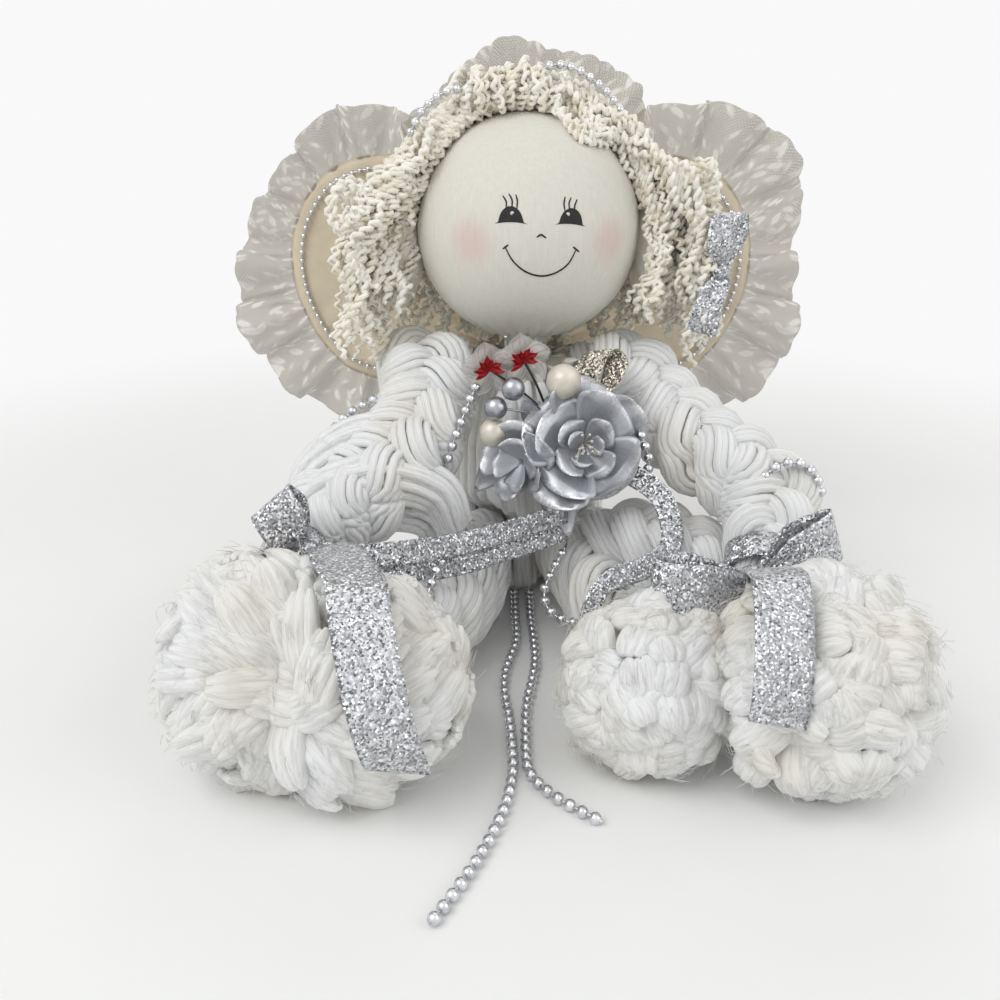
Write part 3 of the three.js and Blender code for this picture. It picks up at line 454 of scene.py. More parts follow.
def frames_along(route, lean=UP):
    """For each point of a route: the point, its direction, the level side direction and the one above it."""
    route = np.array(route)[:, :3]
    tangents = np.gradient(route, axis=0)
    frames = []
    for point, tangent in zip(route, tangents):
        tangent = Vector(tangent).normalized()
        side = Vector(lean).cross(tangent).normalized()
        frames.append((Vector(point), tangent, side, tangent.cross(side)))
    return frames


def ease(share):
    share = min(max(share, 0.0), 1.0)
    return share * share * (3 - 2 * share)


def new_piece(name, mesh):
    piece = bpy.data.objects.new(name, mesh)
    bpy.context.scene.collection.objects.link(piece)
    return piece


def mesh_piece(name, bm):
    """A piece from a finished bmesh, shaded smooth."""
    mesh = bpy.data.meshes.new(name)
    bm.to_mesh(mesh)
    bm.free()
    mesh.shade_smooth()
    return new_piece(name, mesh)


def yarn_mesh(name, strands, roundness=1):
    """A mesh of round yarns. Each strand is its points and the yarn's radius at each of them."""
    curve = bpy.data.curves.new(name, "CURVE")
    curve.dimensions = "3D"
    curve.bevel_depth = MM
    curve.bevel_resolution = roundness
    curve.use_fill_caps = True
    for points, radii in strands:
        spline = curve.splines.new("POLY")
        spline.points.add(len(points) - 1)
        flat = np.ones((len(points), 4))
        flat[:, :3] = np.array([list(p) for p in points])[:, :3]
        spline.points.foreach_set("co", flat.ravel())
        spline.points.foreach_set("radius", np.broadcast_to(np.array(radii, float) / MM, len(points)).copy())
    maker = bpy.data.objects.new(name, curve)
    bpy.context.scene.collection.objects.link(maker)
    depsgraph = bpy.context.evaluated_depsgraph_get()
    mesh = bpy.data.meshes.new_from_object(maker.evaluated_get(depsgraph), depsgraph=depsgraph)
    bpy.data.objects.remove(maker)
    bpy.data.curves.remove(curve)
    mesh.name = name
    mesh.shade_smooth()
    return mesh


def yarn_piece(name, strands, roundness=1):
    return new_piece(name, yarn_mesh(name, strands, roundness))


def add_patch(bm, across, along, place):
    """Adds a grid of quads to a bmesh; place(u, v) puts its points, with u and v from 0 to 1."""
    layer = bm.loops.layers.uv.verify()
    made = bmesh.ops.create_grid(bm, x_segments=across, y_segments=along, size=0.5)["verts"]
    faces = {face for vert in made for face in vert.link_faces}
    for face in faces:
        for loop in face.loops:
            loop[layer].uv = (loop.vert.co.x + 0.5, loop.vert.co.y + 0.5)
    for vert in made:
        vert.co = place(vert.co.x + 0.5, vert.co.y + 0.5)


def thicken(piece, thickness, offset=0.0):
    modifier = piece.modifiers.new("cloth_thickness", "SOLIDIFY")
    modifier.thickness = thickness
    modifier.offset = offset
    return piece


def dress(piece, material, body, slot, *nodes):
    """Gives a piece its material and body, and lets it stand for its solids; slot is not used."""
    piece.data.materials.clear()
    piece.data.materials.append(material)
    if body:
        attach(piece, body)
    if nodes:
        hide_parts(*nodes)
    return piece


def cloth_piece(name, bm, thickness, *looks):
    """A dressed piece of thin cloth from a finished bmesh."""
    return dress(thicken(mesh_piece(name, bm), thickness), *looks)


def cut_strip(width, rests_on):
    """Turns what a strip of cloth or ribbon rests on into a list, and keeps nothing."""
    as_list(rests_on)


# Radius of the thread that beads are strung on
BEAD_THREAD = 0.45 * MM


def bead_string(name, route, diameter, pitch=1.16):
    """Beads evenly spaced on a thread along a route; pitch is in bead diameters."""
    count = max(2, round(route_length(route) / (diameter * pitch)))
    bm = bmesh.new()
    bm.from_mesh(yarn_mesh(name + "_thread", [(smooth_route(route, 6 * count), BEAD_THREAD)], 0))
    for place in smooth_route(route, 2 * count + 1)[1::2]:
        bmesh.ops.create_icosphere(bm, subdivisions=2, radius=diameter / 2,
                                   matrix=Matrix.Translation(place[:3]))
    return mesh_piece(name, bm)


# Stage


class ANGEL_OT_stage(bpy.types.Operator):
    """Camera at the photograph's angle, pale floor and soft studio light"""
    bl_idname = "angel.stage"
    bl_label = "Stage"

    def execute(self, context):
        stage = settings("stage")
        camera = bpy.data.cameras.new("camera")
        camera.lens = stage.lens
        camera.sensor_width = 36
        camera.clip_start = 0.01
        eye = bpy.data.objects.new("camera", camera)
        eye.location = stage.place
        eye.rotation_euler = (math.pi / 2 - stage.pitch, 0, 0)
        context.scene.collection.objects.link(eye)
        context.scene.camera = eye
        context.scene.view_settings.view_transform = "Standard"
        bm = bmesh.new()
        bmesh.ops.create_grid(bm, x_segments=8, y_segments=8, size=6)
        floor = mesh_piece("floor", bm)
        floor.data.materials.append(floor_material())
        self.add_lamp(context, "key", (-0.75, -0.75, 1.25), 1.1, stage.key_power)
        self.add_lamp(context, "fill", (0.95, -0.55, 0.75), 0.9, stage.fill_power)
        self.add_lamp(context, "back", (0.2, 0.95, 1.0), 0.9, stage.fill_power)
        self.light_world(context, stage.world_level)
        return {"FINISHED"}

    def add_lamp(self, context, name, place, size, power):
        lamp = bpy.data.lights.new(name, "AREA")
        lamp.energy = power
        lamp.size = size
        holder = bpy.data.objects.new(name, lamp)
        holder.location = place
        aim = Vector((0, -0.08, 0.12)) - Vector(place)
        holder.rotation_euler = aim.to_track_quat("-Z", "Y").to_euler()
        context.scene.collection.objects.link(holder)

    def light_world(self, context, level):
        world = bpy.data.worlds.new("studio")
        context.scene.world = world
        world.use_nodes = True
        tree = world.node_tree
        even = tree.nodes["Background"]
        even.inputs["Color"].default_value = (1, 1, 1, 1)
        even.inputs["Strength"].default_value = level
        seen = add_node(tree, "ShaderNodeBackground", {"Color": rgba(srgb(BACKDROP)), "Strength": 1.0})
        path = add_node(tree, "ShaderNodeLightPath")
        shown = path.outputs["Is Camera Ray"]
        for ray in ("Is Transmission Ray", "Is Glossy Ray"):
            shown = math_node(tree, "MAXIMUM", shown, path.outputs[ray])
        pick = add_node(tree, "ShaderNodeMixShader", links={0: shown, 1: even.outputs[0], 2: seen.outputs[0]})
        tree.links.new(pick.outputs[0], tree.nodes["World Output"].inputs["Surface"])


# Trailing garland

# The strands' routes on the table, in metres
TAIL_HEIGHT = 0.0026
TAIL_LEFT = [(-0.004, -0.0336), (-0.004, -0.064), (-0.004, -0.089), (-0.009, -0.115), (-0.010, -0.134),
             (-0.008, -0.155), (-0.007, -0.175), (-0.007, -0.193), (-0.010, -0.212), (-0.016, -0.231),
             (-0.022, -0.245), (-0.029, -0.259), (-0.035, -0.270)]
TAIL_RIGHT = [(0.004, -0.0336), (0.004, -0.064), (0.005, -0.089), (0.005, -0.108), (0.003, -0.125),
              (0.000, -0.145), (-0.001, -0.168), (-0.0005, -0.190), (0.006, -0.203), (0.016, -0.213),
              (0.026, -0.221)]


class ANGEL_OT_trailing_beads(bpy.types.Operator):
    """The two bead strands that lie on the table in front"""
    bl_idname = "angel.trailing_beads"
    bl_label = "Trailing beads"

    def execute(self, context):
        diameter = settings("trim").bead
        for side, points in (("left", TAIL_LEFT), ("right", TAIL_RIGHT)):
            route = smooth_route([(x, y, TAIL_HEIGHT) for x, y in points], 160)
            strand = bead_string(f"trailing_beads_{side}", route, diameter)
            dress(strand, steel_bead_material(), "torso", "silver_beads", f"tail_strand_{side}")
        return {"FINISHED"}


# Head and face


class Face:
    """Places on the head as seen along the way it faces, in millimetres right of and above its middle."""
    middle = mm(*HEAD_MIDDLE)
    ahead = Vector((0.079, -0.997, 0.012))
    right = Vector((0.997, 0.079, 0))
    # Rays to the cloth start this far in front
    away = 0.2

    def __init__(self, radius):
        self.radius = radius
        self.surface = None

    def point(self, right, up, proud=0.0):
        """The point on the round head, or on its cloth once that is made."""
        start = self.middle + self.right * right * MM + UP * up * MM + self.ahead * self.away
        if self.surface:
            return self.surface.ray_cast(start, -self.ahead)[0] + self.ahead * proud * MM
        depth = math.sqrt(self.radius ** 2 - (right * MM) ** 2 - (up * MM) ** 2)
        return start + self.ahead * (depth - self.away)


FACE = Face(HEAD_RADIUS * MM)


def head_cover():
    """A round stuffed cover whose cloth is gathered into folds round the neck, with two soft seam creases."""
    head = settings("head")
    bm = bmesh.new()
    bmesh.ops.create_uvsphere(bm, u_segments=144, v_segments=96, radius=head.radius)
    for vert in bm.verts:
        way = vert.co.normalized()
        turn = math.atan2(way.x, -way.y)
        low = ease((-way.z - 0.55) / 0.42)
        fold = math.cos(head.gathers * turn + 1.6 * math.sin(3 * turn) + 0.8 * noise.noise(way * 3))
        swell = 1 + 0.006 * noise.noise(way * 2.2 + Vector((3, 1, 7))) - 0.028 * low * (0.5 + 0.5 * fold)
        for crease_turn, depth in ((-0.42, 0.004), (0.03, 0.003)):
            swell -= depth * math.exp(-((turn - crease_turn) * 60) ** 2) * (1 - low)
        vert.co = way * head.radius * swell
        vert.co.z += 2.5 * MM * ease((-way.z - 0.9) / 0.1)
    opening = [vert for vert in bm.verts if vert.co.z < 0 and Vector(vert.co.xy).length < 11.5 * MM]
    bmesh.ops.delete(bm, geom=opening, context="VERTS")
    bmesh.ops.translate(bm, verts=bm.verts, vec=FACE.middle)
    FACE.surface = BVHTree.FromBMesh(bm)
    cover = thicken(mesh_piece("muslin_head", bm), head.cloth, -1.0)
    dress(cover, muslin_material(), "head", "muslin", "head_cover")


# Inked lines, in millimetres right of and above the head's middle
MOUTH_AND_NOSE = (
    [(-16.0, -3.2), (-12.2, -9.6), (-6.3, -14.3), (0.5, -16.2), (7.2, -14.9), (12.9, -11.0), (16.4, -4.8)],
    [(-16.9, -4.1), (-14.6, -2.2)], [(14.9, -3.4), (17.9, -5.8)], [(-1.9, 1.2), (0.1, 2.2), (2.3, 0.8)])
LASHES = (
    [(-15.4, 13.2), (-15.3, 16.2), (-16.7, 18.7)], [(-12.9, 13.6), (-12.7, 16.8), (-14.0, 19.5)],
    [(-10.7, 13.2), (-10.4, 16.4), (-11.0, 19.2)], [(10.9, 12.2), (10.5, 15.2), (11.1, 18.2)],
    [(13.1, 12.5), (12.9, 15.4), (13.9, 17.8)], [(15.5, 11.7), (15.5, 14.2), (16.7, 16.9)])


def stroke(points, radius):
    """An inked line on the face, thin at both ends."""
    line = smooth_route([(x, up, 0) for x, up in points], 8 * len(points))
    shares = np.linspace(0, 1, len(line))
    return ([FACE.point(x, up) for x, up, _ in line],
            radius * MM * (0.45 + 0.55 * np.sin(np.pi * shares) ** 0.5))


def eye_patch(bm, middle, base, tilt):
    """A filled half-dome eye with drawn-out corners."""
    def place(u, v):
        wide = 5.4 * math.sqrt(max(1 - v ** 2.2, 0.04)) + 1.7 * math.exp(-v / 0.06)
        x = (2 * u - 1) * wide
        up = 6.7 * v + 0.5 - 0.75 * (2 * u - 1) ** 2 * (1 - v)
        return FACE.point(middle + x * math.cos(tilt) - up * math.sin(tilt),
                          base + up * math.cos(tilt) + x * math.sin(tilt), 0.15)
    add_patch(bm, 16, 14, place)


class ANGEL_OT_head(bpy.types.Operator):
    """Muslin head with its filling and printed face"""
    bl_idname = "angel.head"
    bl_label = "Head"

    def execute(self, context):
        head_cover()
        bm = bmesh.new()
        eye_patch(bm, -13.4, 7.1, 0.0)
        eye_patch(bm, 13.6, 6.1, -0.1)
        lines = [stroke(points, 0.42) for points in MOUTH_AND_NOSE]
        lines += [stroke(points, 0.34) for points in LASHES]
        bm.from_mesh(yarn_mesh("ink_lines", lines))
        bmesh.ops.recalc_face_normals(bm, faces=bm.faces)
        cloth_piece("printed_face", bm, 0.1 * MM, ink_material(), "head", "muslin")
        bm = bmesh.new()
        for right, up in ((-12.8, 11.4), (12.3, 10.8)):
            facing = FACE.ahead.to_track_quat("Z", "Y").to_matrix().to_4x4()
            spot = Matrix.Translation(FACE.point(right, up, 0.25)) @ facing
            bmesh.ops.create_circle(bm, cap_ends=True, segments=14, radius=0.85 * MM, matrix=spot)
        cloth_piece("eye_highlights", bm, 0.15 * MM, muslin_material(), "head", "muslin")
        bm = bmesh.new()
        bmesh.ops.create_icosphere(bm, subdivisions=4, radius=51 * MM)
        for vert in bm.verts:
            vert.co *= 1 - 0.04 * abs(noise.noise(vert.co * 70))
            vert.co += FACE.middle
        filling = mesh_piece("fibre_filling", bm)
        dress(filling, muslin_material(), "head", "filling", "head_stuffing")
        return {"FINISHED"}


# Hair

# Threads stay this far from the head's middle
HAIR_CLEAR = 57.5 * MM
# A crinkled thread's coil: its radius, the length of a turn and the points drawn on one
COIL, COIL_PITCH, COIL_POINTS = 1.2 * MM, 4.4 * MM, 5
# The ways from which the locks' frames are taken
FROM_BACK, FROM_SIDE = (0, 1, 0), (1, 0, 0)
LOCK_STRANDS = 5


def crinkled(route, rng, lean):
    """A thread crinkled into tight coils along a route kept clear of the head."""
    line = smooth_route(route, max(12, round(route_length(route) / COIL_PITCH * COIL_POINTS)))
    turn, sway = rng.uniform(0, 6.28), rng.uniform(0, 6.28)
    points = []
    for i, (point, _, side, above) in enumerate(frames_along(line, lean)):
        turn += 2 * math.pi / COIL_POINTS * rng.uniform(0.75, 1.25)
        loose = min(i / 40, 1) * 3.4 * MM
        point += side * math.sin(sway + i * 0.16) * loose + above * math.cos(1.3 * sway + i * 0.12) * loose
        way = point - FACE.middle
        if way.length < HAIR_CLEAR:
            point = FACE.middle + way.normalized() * HAIR_CLEAR
        wide = COIL * rng.uniform(0.75, 1.25)
        points.append(point + side * math.cos(turn) * wide + above * math.sin(turn) * wide)
    return points, settings("head").hair_thread * rng.uniform(0.75, 1.2)


def hair_lock(rng, points, strands, spread, lean):
    """Strands that share a lock's route and part a little towards its end."""
    made = []
    for _ in range(strands):
        shift = mm(*(rng.gauss(0, spread) for _ in range(3)))
        route = [mm(*p) + shift * (0.45 + 0.55 * i / (len(points) - 1)) for i, p in enumerate(points)]
        route[-1] += mm(rng.uniform(-4, 4), rng.uniform(-4, 4), rng.uniform(-9, 6))
        made.append(crinkled(route, rng, lean))
    return made


def side_locks(rng, side, count):
    """Locks that fall from the parting over one side of the head and stop over the shoulder."""
    sign = SIDES[side]
    mid_x, mid_y, mid_z = HEAD_MIDDLE
    front = -38 if side == "left" else -33
    made = []
    for i in range(count):
        back = (i % 10) / 9
        out = rng.uniform(0.0, 0.45) if i % 2 else rng.uniform(0.55, 1.0)
        root_x, root_y = rng.uniform(2, 22), -12 + 34 * back
        top = 60 + 6 * out
        root_z = mid_z + math.sqrt(top ** 2 - root_x ** 2 - (root_y - mid_y) ** 2)
        y = front - 8 * out + (24 - front) * back + rng.uniform(-3, 3)
        end = rng.uniform(136, 156) if out > 0.6 else rng.uniform(160, 176)
        made += hair_lock(rng, [
            (mid_x + sign * root_x, root_y, root_z),
            (mid_x + sign * (43 + 6 * out), 0.5 * (root_y + y), 233 + 5 * out),
            (mid_x + sign * (60 + 26 * out), y, 199 + rng.uniform(-6, 6)),
            (mid_x + sign * (63 + 26 * out), y - 3, 173 + rng.uniform(-5, 5)),
            (mid_x + sign * (66 + 22 * out + rng.uniform(-5, 5)), y - 5, end)], LOCK_STRANDS, 3.2, FROM_BACK)
    # Curls that stand off the locks
    for i in range(9):
        high, y = rng.uniform(176, 226), rng.uniform(-44, -8)
        x = 52 + 26 * math.sin(math.pi * (high - 150) / 110)
        reach = rng.uniform(9, 15)
        made += hair_lock(rng, [
            (mid_x + sign * x, y + 6, high), (mid_x + sign * (x + 0.8 * reach), y, high + 5),
            (mid_x + sign * (x + reach), y - 3, high - 5),
            (mid_x + sign * (x + 0.55 * reach), y - 6, high - 14),
            (mid_x + sign * (x + 0.1 * reach), y - 4, high - 10)], 2, 1.6, FROM_BACK)
    return made


def crown_locks(rng):
    """Locks in two layers from the hairline over the top and down the back of the head."""
    mid_x, _, mid_z = HEAD_MIDDLE
    made = []
    for i in range(34):
        across = (i // 2 - 8) / 8
        layer = 61.5 + 6.5 * (i % 2)
        x = 46 * across + rng.uniform(-2, 2)
        height = math.sqrt(layer ** 2 - x * x)
        made += hair_lock(rng, [
            (mid_x + x, -16 + 0.1 * height, mid_z + 0.98 * height),
            (mid_x + 1.03 * x, 6, mid_z + 0.97 * height), (mid_x + 1.05 * x, 24, mid_z + 0.83 * height),
            (mid_x + 1.02 * x, 37 - 6 * abs(across), mid_z + 0.55 * height),
            (mid_x + x, 43 - 9 * abs(across), mid_z + 0.2 * height),
            (mid_x + 0.95 * x, 42 - 9 * abs(across), 180),
            (mid_x + 0.9 * x, 36 - 9 * abs(across), 162 + rng.uniform(-4, 8))], 2 + i % 2, 2.0, FROM_SIDE)
    # Short locks that lie over the halo's string
    for i in range(9):
        x = -34 + 6 * i
        drop = 0.006 * (x + 10) ** 2
        made += hair_lock(rng, [(x, -14, 248 - drop), (x + 1, -28, 255 - drop), (x + 2, -27, 262 - drop),
                                (x + 3, -10, 264 - drop), (x + 4, 14, 254 - drop)], 3, 2.0, FROM_SIDE)
    return made


def nape_locks(rng):
    """Locks that hang from under the crown over the nape."""
    mid_x = HEAD_MIDDLE[0]
    made = []
    for i in range(13):
        x = 10.5 * (i - 6)
        end = 133 + 0.17 * abs(x) + rng.uniform(-3, 4)
        made += hair_lock(rng, [(mid_x + 0.9 * x, 30, 196), (mid_x + x, 30, 180), (mid_x + 1.03 * x, 22, 163),
                                (mid_x + 1.06 * x, 17, 149), (mid_x + 1.08 * x, 14, end)],
                          LOCK_STRANDS, 2.8, FROM_SIDE)
    return made


HAIRLINE = [(-55, -14, 208), (-44, -13, 232), (-23, -12, 247), (2, -11, 252.5), (27, -12, 247),
            (48, -13, 232), (59, -14, 208)]
FACE_LOOPS = ([(12, -12, 255), (17, -32, 247), (25, -43, 238), (33, -38, 236), (40, -18, 244)],
              [(24, -14, 251), (31, -32, 242), (38, -33, 236), (46, -18, 237)],
              [(-30, -16, 246), (-38, -27, 238), (-48, -28, 224), (-58, -30, 206)],
              [(52, -22, 226), (60, -29, 210), (62, -33, 192), (60, -39, 176), (55, -43, 166)],
              [(55, -22, 214), (65, -32, 194), (62, -41, 174), (57, -45, 161)],
              [(-54, -22, 214), (-64, -30, 196), (-65, -34, 178), (-60, -39, 165)])


def fringe_locks(rng):
    """The rolled fringe along the head's outline, with loops that fall on the forehead and cheeks."""
    line = smooth_route(HAIRLINE, 15)
    made = []
    rolled = 18
    for i in range(rolled):
        turn = 2 * math.pi * i / rolled
        wide = 7.5 if i % 3 else 3.5
        points = []
        for j, (x, y, z) in enumerate(line):
            roll = turn + j * 0.5 + rng.uniform(-0.25, 0.25)
            points.append((x, y - 2 + wide * math.cos(roll), z + 2 + wide * math.sin(roll)))
        made += hair_lock(rng, points, 1, 1.2, FROM_BACK)
    for loop in FACE_LOOPS:
        made += hair_lock(rng, loop, 4, 1.8, (0, 1, 0.2))
    return made


def hair_cap():
    """The yarn backing under the strands, behind the hairline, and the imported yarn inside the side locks."""
    bm = bmesh.new()
    bmesh.ops.create_uvsphere(bm, u_segments=72, v_segments=48, radius=FACE.radius + 0.3 * MM)
    bmesh.ops.translate(bm, verts=bm.verts, vec=FACE.middle)
    bare = [vert for vert in bm.verts if vert.co.y < FACE.middle.y - 2 * MM or vert.co.z < 156 * MM]
    bmesh.ops.delete(bm, geom=bare, context="VERTS")
    for place, radii in (((-62, -6, 186), (11, 20, 30)), ((64, -4, 186), (10, 20, 30))):
        packed = bmesh.ops.create_icosphere(bm, subdivisions=4, radius=1)["verts"]
        for vert in packed:
            swell = 1 + 0.12 * noise.noise(vert.co * 6)
            vert.co = mm(*(p + c * r * swell for p, c, r in zip(place, vert.co, radii)))
    return bm


class ANGEL_OT_hair(bpy.types.Operator):
    """Crinkled yarn hair in locks round the head"""
    bl_idname = "angel.hair"
    bl_label = "Hair"

    def execute(self, context):
        rng = random.Random(11)
        wool = hair_material()
        for side in SIDES:
            locks = side_locks(rng, side, settings("head").hair_strands // LOCK_STRANDS)
            dress(yarn_piece(f"side_locks_{side}", locks), wool, "head", "hair_yarn", f"hair_{side}")
        dress(yarn_piece("crown_locks", crown_locks(rng)), wool, "head", "hair_yarn", "hair_crown")
        for name, make in (("fringe_locks", fringe_locks), ("nape_locks", nape_locks)):
            dress(yarn_piece(name, make(rng)), wool, "head", "hair_yarn")
        cloth_piece("hair_backing", hair_cap(), 0.6 * MM, wool, "head", "hair_yarn")
        return {"FINISHED"}


# Roving body and limbs

LIMBS = {
    "arm_left": [(-30, 2, 112, 17), (-49, -22, 126, 24), (-48, -46, 121, 24), (-50, -67, 107, 24),
                 (-66, -89, 91, 25.5), (-92, -108, 77, 22), (-102, -132, 64, 12.5), (-103, -150, 56, 12.5)],
    "arm_right": [(32, 2, 112, 17), (49, -22, 126, 23), (67, -45, 112, 22.5), (85, -73, 98, 23),
                  (111, -96, 84, 24), (104, -126, 68, 18), (101, -142, 60, 12.5), (104, -158, 54, 12.5)],
    "leg_left": [(-29, -22, 28, 24), (-34, -70, 28, 26.5), (-46, -112, 29, 25), (-56, -144, 34, 13),
                 (-60, -160, 37, 13)],
    "leg_right": [(29, -22, 28, 24), (41, -70, 29, 26.5), (47, -108, 30, 24), (48, -136, 32, 13),
                  (48, -152, 33, 13)],
    "knee_fold": [(34, -56, 42, 15), (47, -70, 52, 19), (67, -88, 56, 21), (89, -103, 51, 18)],
}
# The left arm's braid opens at the elbow into loose arches of yarn: each is points with a radius
ELBOW_ARCHES = ([(-97, -112, 66, 10), (-92, -107, 86, 12), (-66, -102, 94, 13), (-42, -95, 86, 12),
                 (-33, -92, 68, 9)],
                [(-101, -104, 74, 10), (-98, -92, 92, 11), (-81, -78, 104, 12), (-58, -72, 108, 11)],
                [(-86, -98, 76, 12), (-66, -93, 77, 13), (-46, -86, 72, 14), (-35, -80, 54, 13)])
BODY_TOP = 127
BODY_PROFILE = [(0, 36), (18, 44), (45, 46), (85, 42), (114, 31), (BODY_TOP, 20)]
# The breast is an egg: its middle and radii
BREAST = (10, -44, 86), (30, 26, 42)
# Each tuft ball: its middle, its radii, the plane in X it is pressed against and the side it lies on
TUFTS = {
    "hand_tuft_left": ((-103, -182, 45), (39, 39, 44), -88, -1),
    "foot_tuft_left": ((-68, -190, 42), (41, 41, 42), -88, 1),
    "hand_tuft_right": ((112, -186, 43), (43, 43, 43), 72, 1),
    "foot_tuft_right": ((48, -176, 33), (34, 34, 34), 72, -1),
}
# Radius of one ply of the cords at neck and ankles
CORD_RADIUS = 0.8 * MM
# Points along a braid; the short fold at the knee takes fewer
BRAID_POINTS, FOLD_POINTS = 150, 80


def limb_route(limb, count):
    return smooth_route(LIMBS[limb], count) * MM


def braid_strands(limb):
    """The yarns of a three-strand braid: each strand is a twisted ring of yarns round a soft core."""
    roving = settings("roving")
    rng = random.Random(len(limb) + ord(limb[0]))
    route = limb_route(limb, FOLD_POINTS if limb == "knee_fold" else BRAID_POINTS)
    step = route_length(route) / (len(route) - 1)
    frames = frames_along(route)
    widths = route[:, 3]
    yarns = [([frame[0] for frame in frames], 0.42 * widths)]
    for strand in range(3):
        centres = []
        for i, (point, _, side, above) in enumerate(frames):
            phase = 2 * math.pi * (i * step / roving.pitch + strand / 3)
            swing = side * 0.56 * math.sin(phase) + above * 0.42 * math.sin(2 * phase)
            centres.append(point + swing * float(widths[i]))
        yarns.append((centres, 0.34 * widths))
        rings = frames_along([list(c) for c in centres])
        for yarn in range(roving.yarns):
            turn = 2 * math.pi * yarn / roving.yarns + rng.uniform(-0.1, 0.1)
            loose = rng.uniform(0.95, 1.05)
            thick = roving.yarn * np.minimum(1, widths / (21 * MM))
            points = []
            for i, (centre, _, side, above) in enumerate(rings):
                spin = turn + 2 * math.pi * i * step * 1.4 / roving.twist
                out = float(0.45 * widths[i] - thick[i]) * loose
                points.append(centre + (side * math.cos(spin) + above * math.sin(spin)) * out)
            yarns.append((points, thick))
    return yarns


def arch_yarns(points, count, rng):
    """Loose yarns side by side along an arch, packed into its width."""
    roving = settings("roving")
    route = smooth_route(points, 56) * MM
    made = []
    for i in range(count):
        turn, share = i * GOLDEN_TURN, math.sqrt((i + 0.5) / count)
        line = []
        for j, (point, _, side, above) in enumerate(frames_along(route, (0, -1, 0))):
            spin = turn + 0.012 * j
            out = float(share * (route[j][3] - roving.yarn))
            line.append(point + (side * math.cos(spin) + above * math.sin(spin)) * out)
        made.append((line, roving.yarn * rng.uniform(1.0, 1.25)))
    return made


def body_surface(turn, height):
    """How far the body's side lies from its axis at a height, breast and leg hollows counted in."""
    heights, radii = zip(*BODY_PROFILE)
    r = float(np.interp(height, heights, radii))
    x, y = math.sin(turn), -math.cos(turn)
    r *= math.sqrt(x * x + 0.81 * y * y)
    # Where a ray from the axis leaves the breast
    (mid_x, mid_y, mid_z), (wide, deep, tall) = BREAST
    a = (x / wide) ** 2 + (y / deep) ** 2
    b = x * mid_x / wide ** 2 + y * mid_y / deep ** 2
    c = (mid_x / wide) ** 2 + (mid_y / deep) ** 2 + ((height - mid_z) / tall) ** 2 - 1
    if b * b > a * c:
        r = max(r, (b + math.sqrt(b * b - a * c)) / a)
    low = 1 - ease((height - 46) / 14)
    if y < 0 and low > 0:
        hollow = 20 + 14 * (1 - ease((abs(r * x) - 5) / 8))
        r = min(r, r + low * (hollow / -y - r)) if hollow / -y < r else r
    return r


def body_lean(turn, height):
    """The body's yarns lean a little round it on their way down."""
    return turn + 0.25 * (BODY_TOP - height) / BODY_TOP


def body_yarns():
    """Yarns laid down the body from the collar and drawn in under its flat seat."""
    yarn, yarns, steps = 3.2, 44, 56
    made = []
    for i in range(yarns):
        turn = 2 * math.pi * i / yarns
        points = []
        for height in (BODY_TOP, 122, 114, 106, 98, 90, 82, 74, 66, 58, 50, 42, 34, 26, 18, 10, 5):
            lean = body_lean(turn, height)
            r = body_surface(lean, height) - yarn * 0.9
            points.append(mm(r * math.sin(lean), -r * math.cos(lean), height))
        r = body_surface(lean, 2) - yarn
        for share in (0.86, 0.5, 0.16):
            points.append(mm(share * r * math.sin(lean), -share * r * math.cos(lean), yarn * 1.02))
        sizes = np.interp(np.arange(steps), [0, 4, 46, 55], [2.0, yarn, yarn, 1.2])
        made.append((smooth_route(points, steps), sizes * MM))
    return made


# Where the left hand's and foot's locks part, and the way that the heart looks
TUFT_HEART = Vector((-86, -200, 46)), Vector((0, -0.95, 0.3))
FIBRE_RADIUS = 0.11 * MM
LOCK_POINTS = 11
LOCK_SIZES = np.interp(np.arange(LOCK_POINTS), [0, 3, 6, 8, 9, 10], [0.6, 0.95, 1, 0.9, 0.74, 0.34])


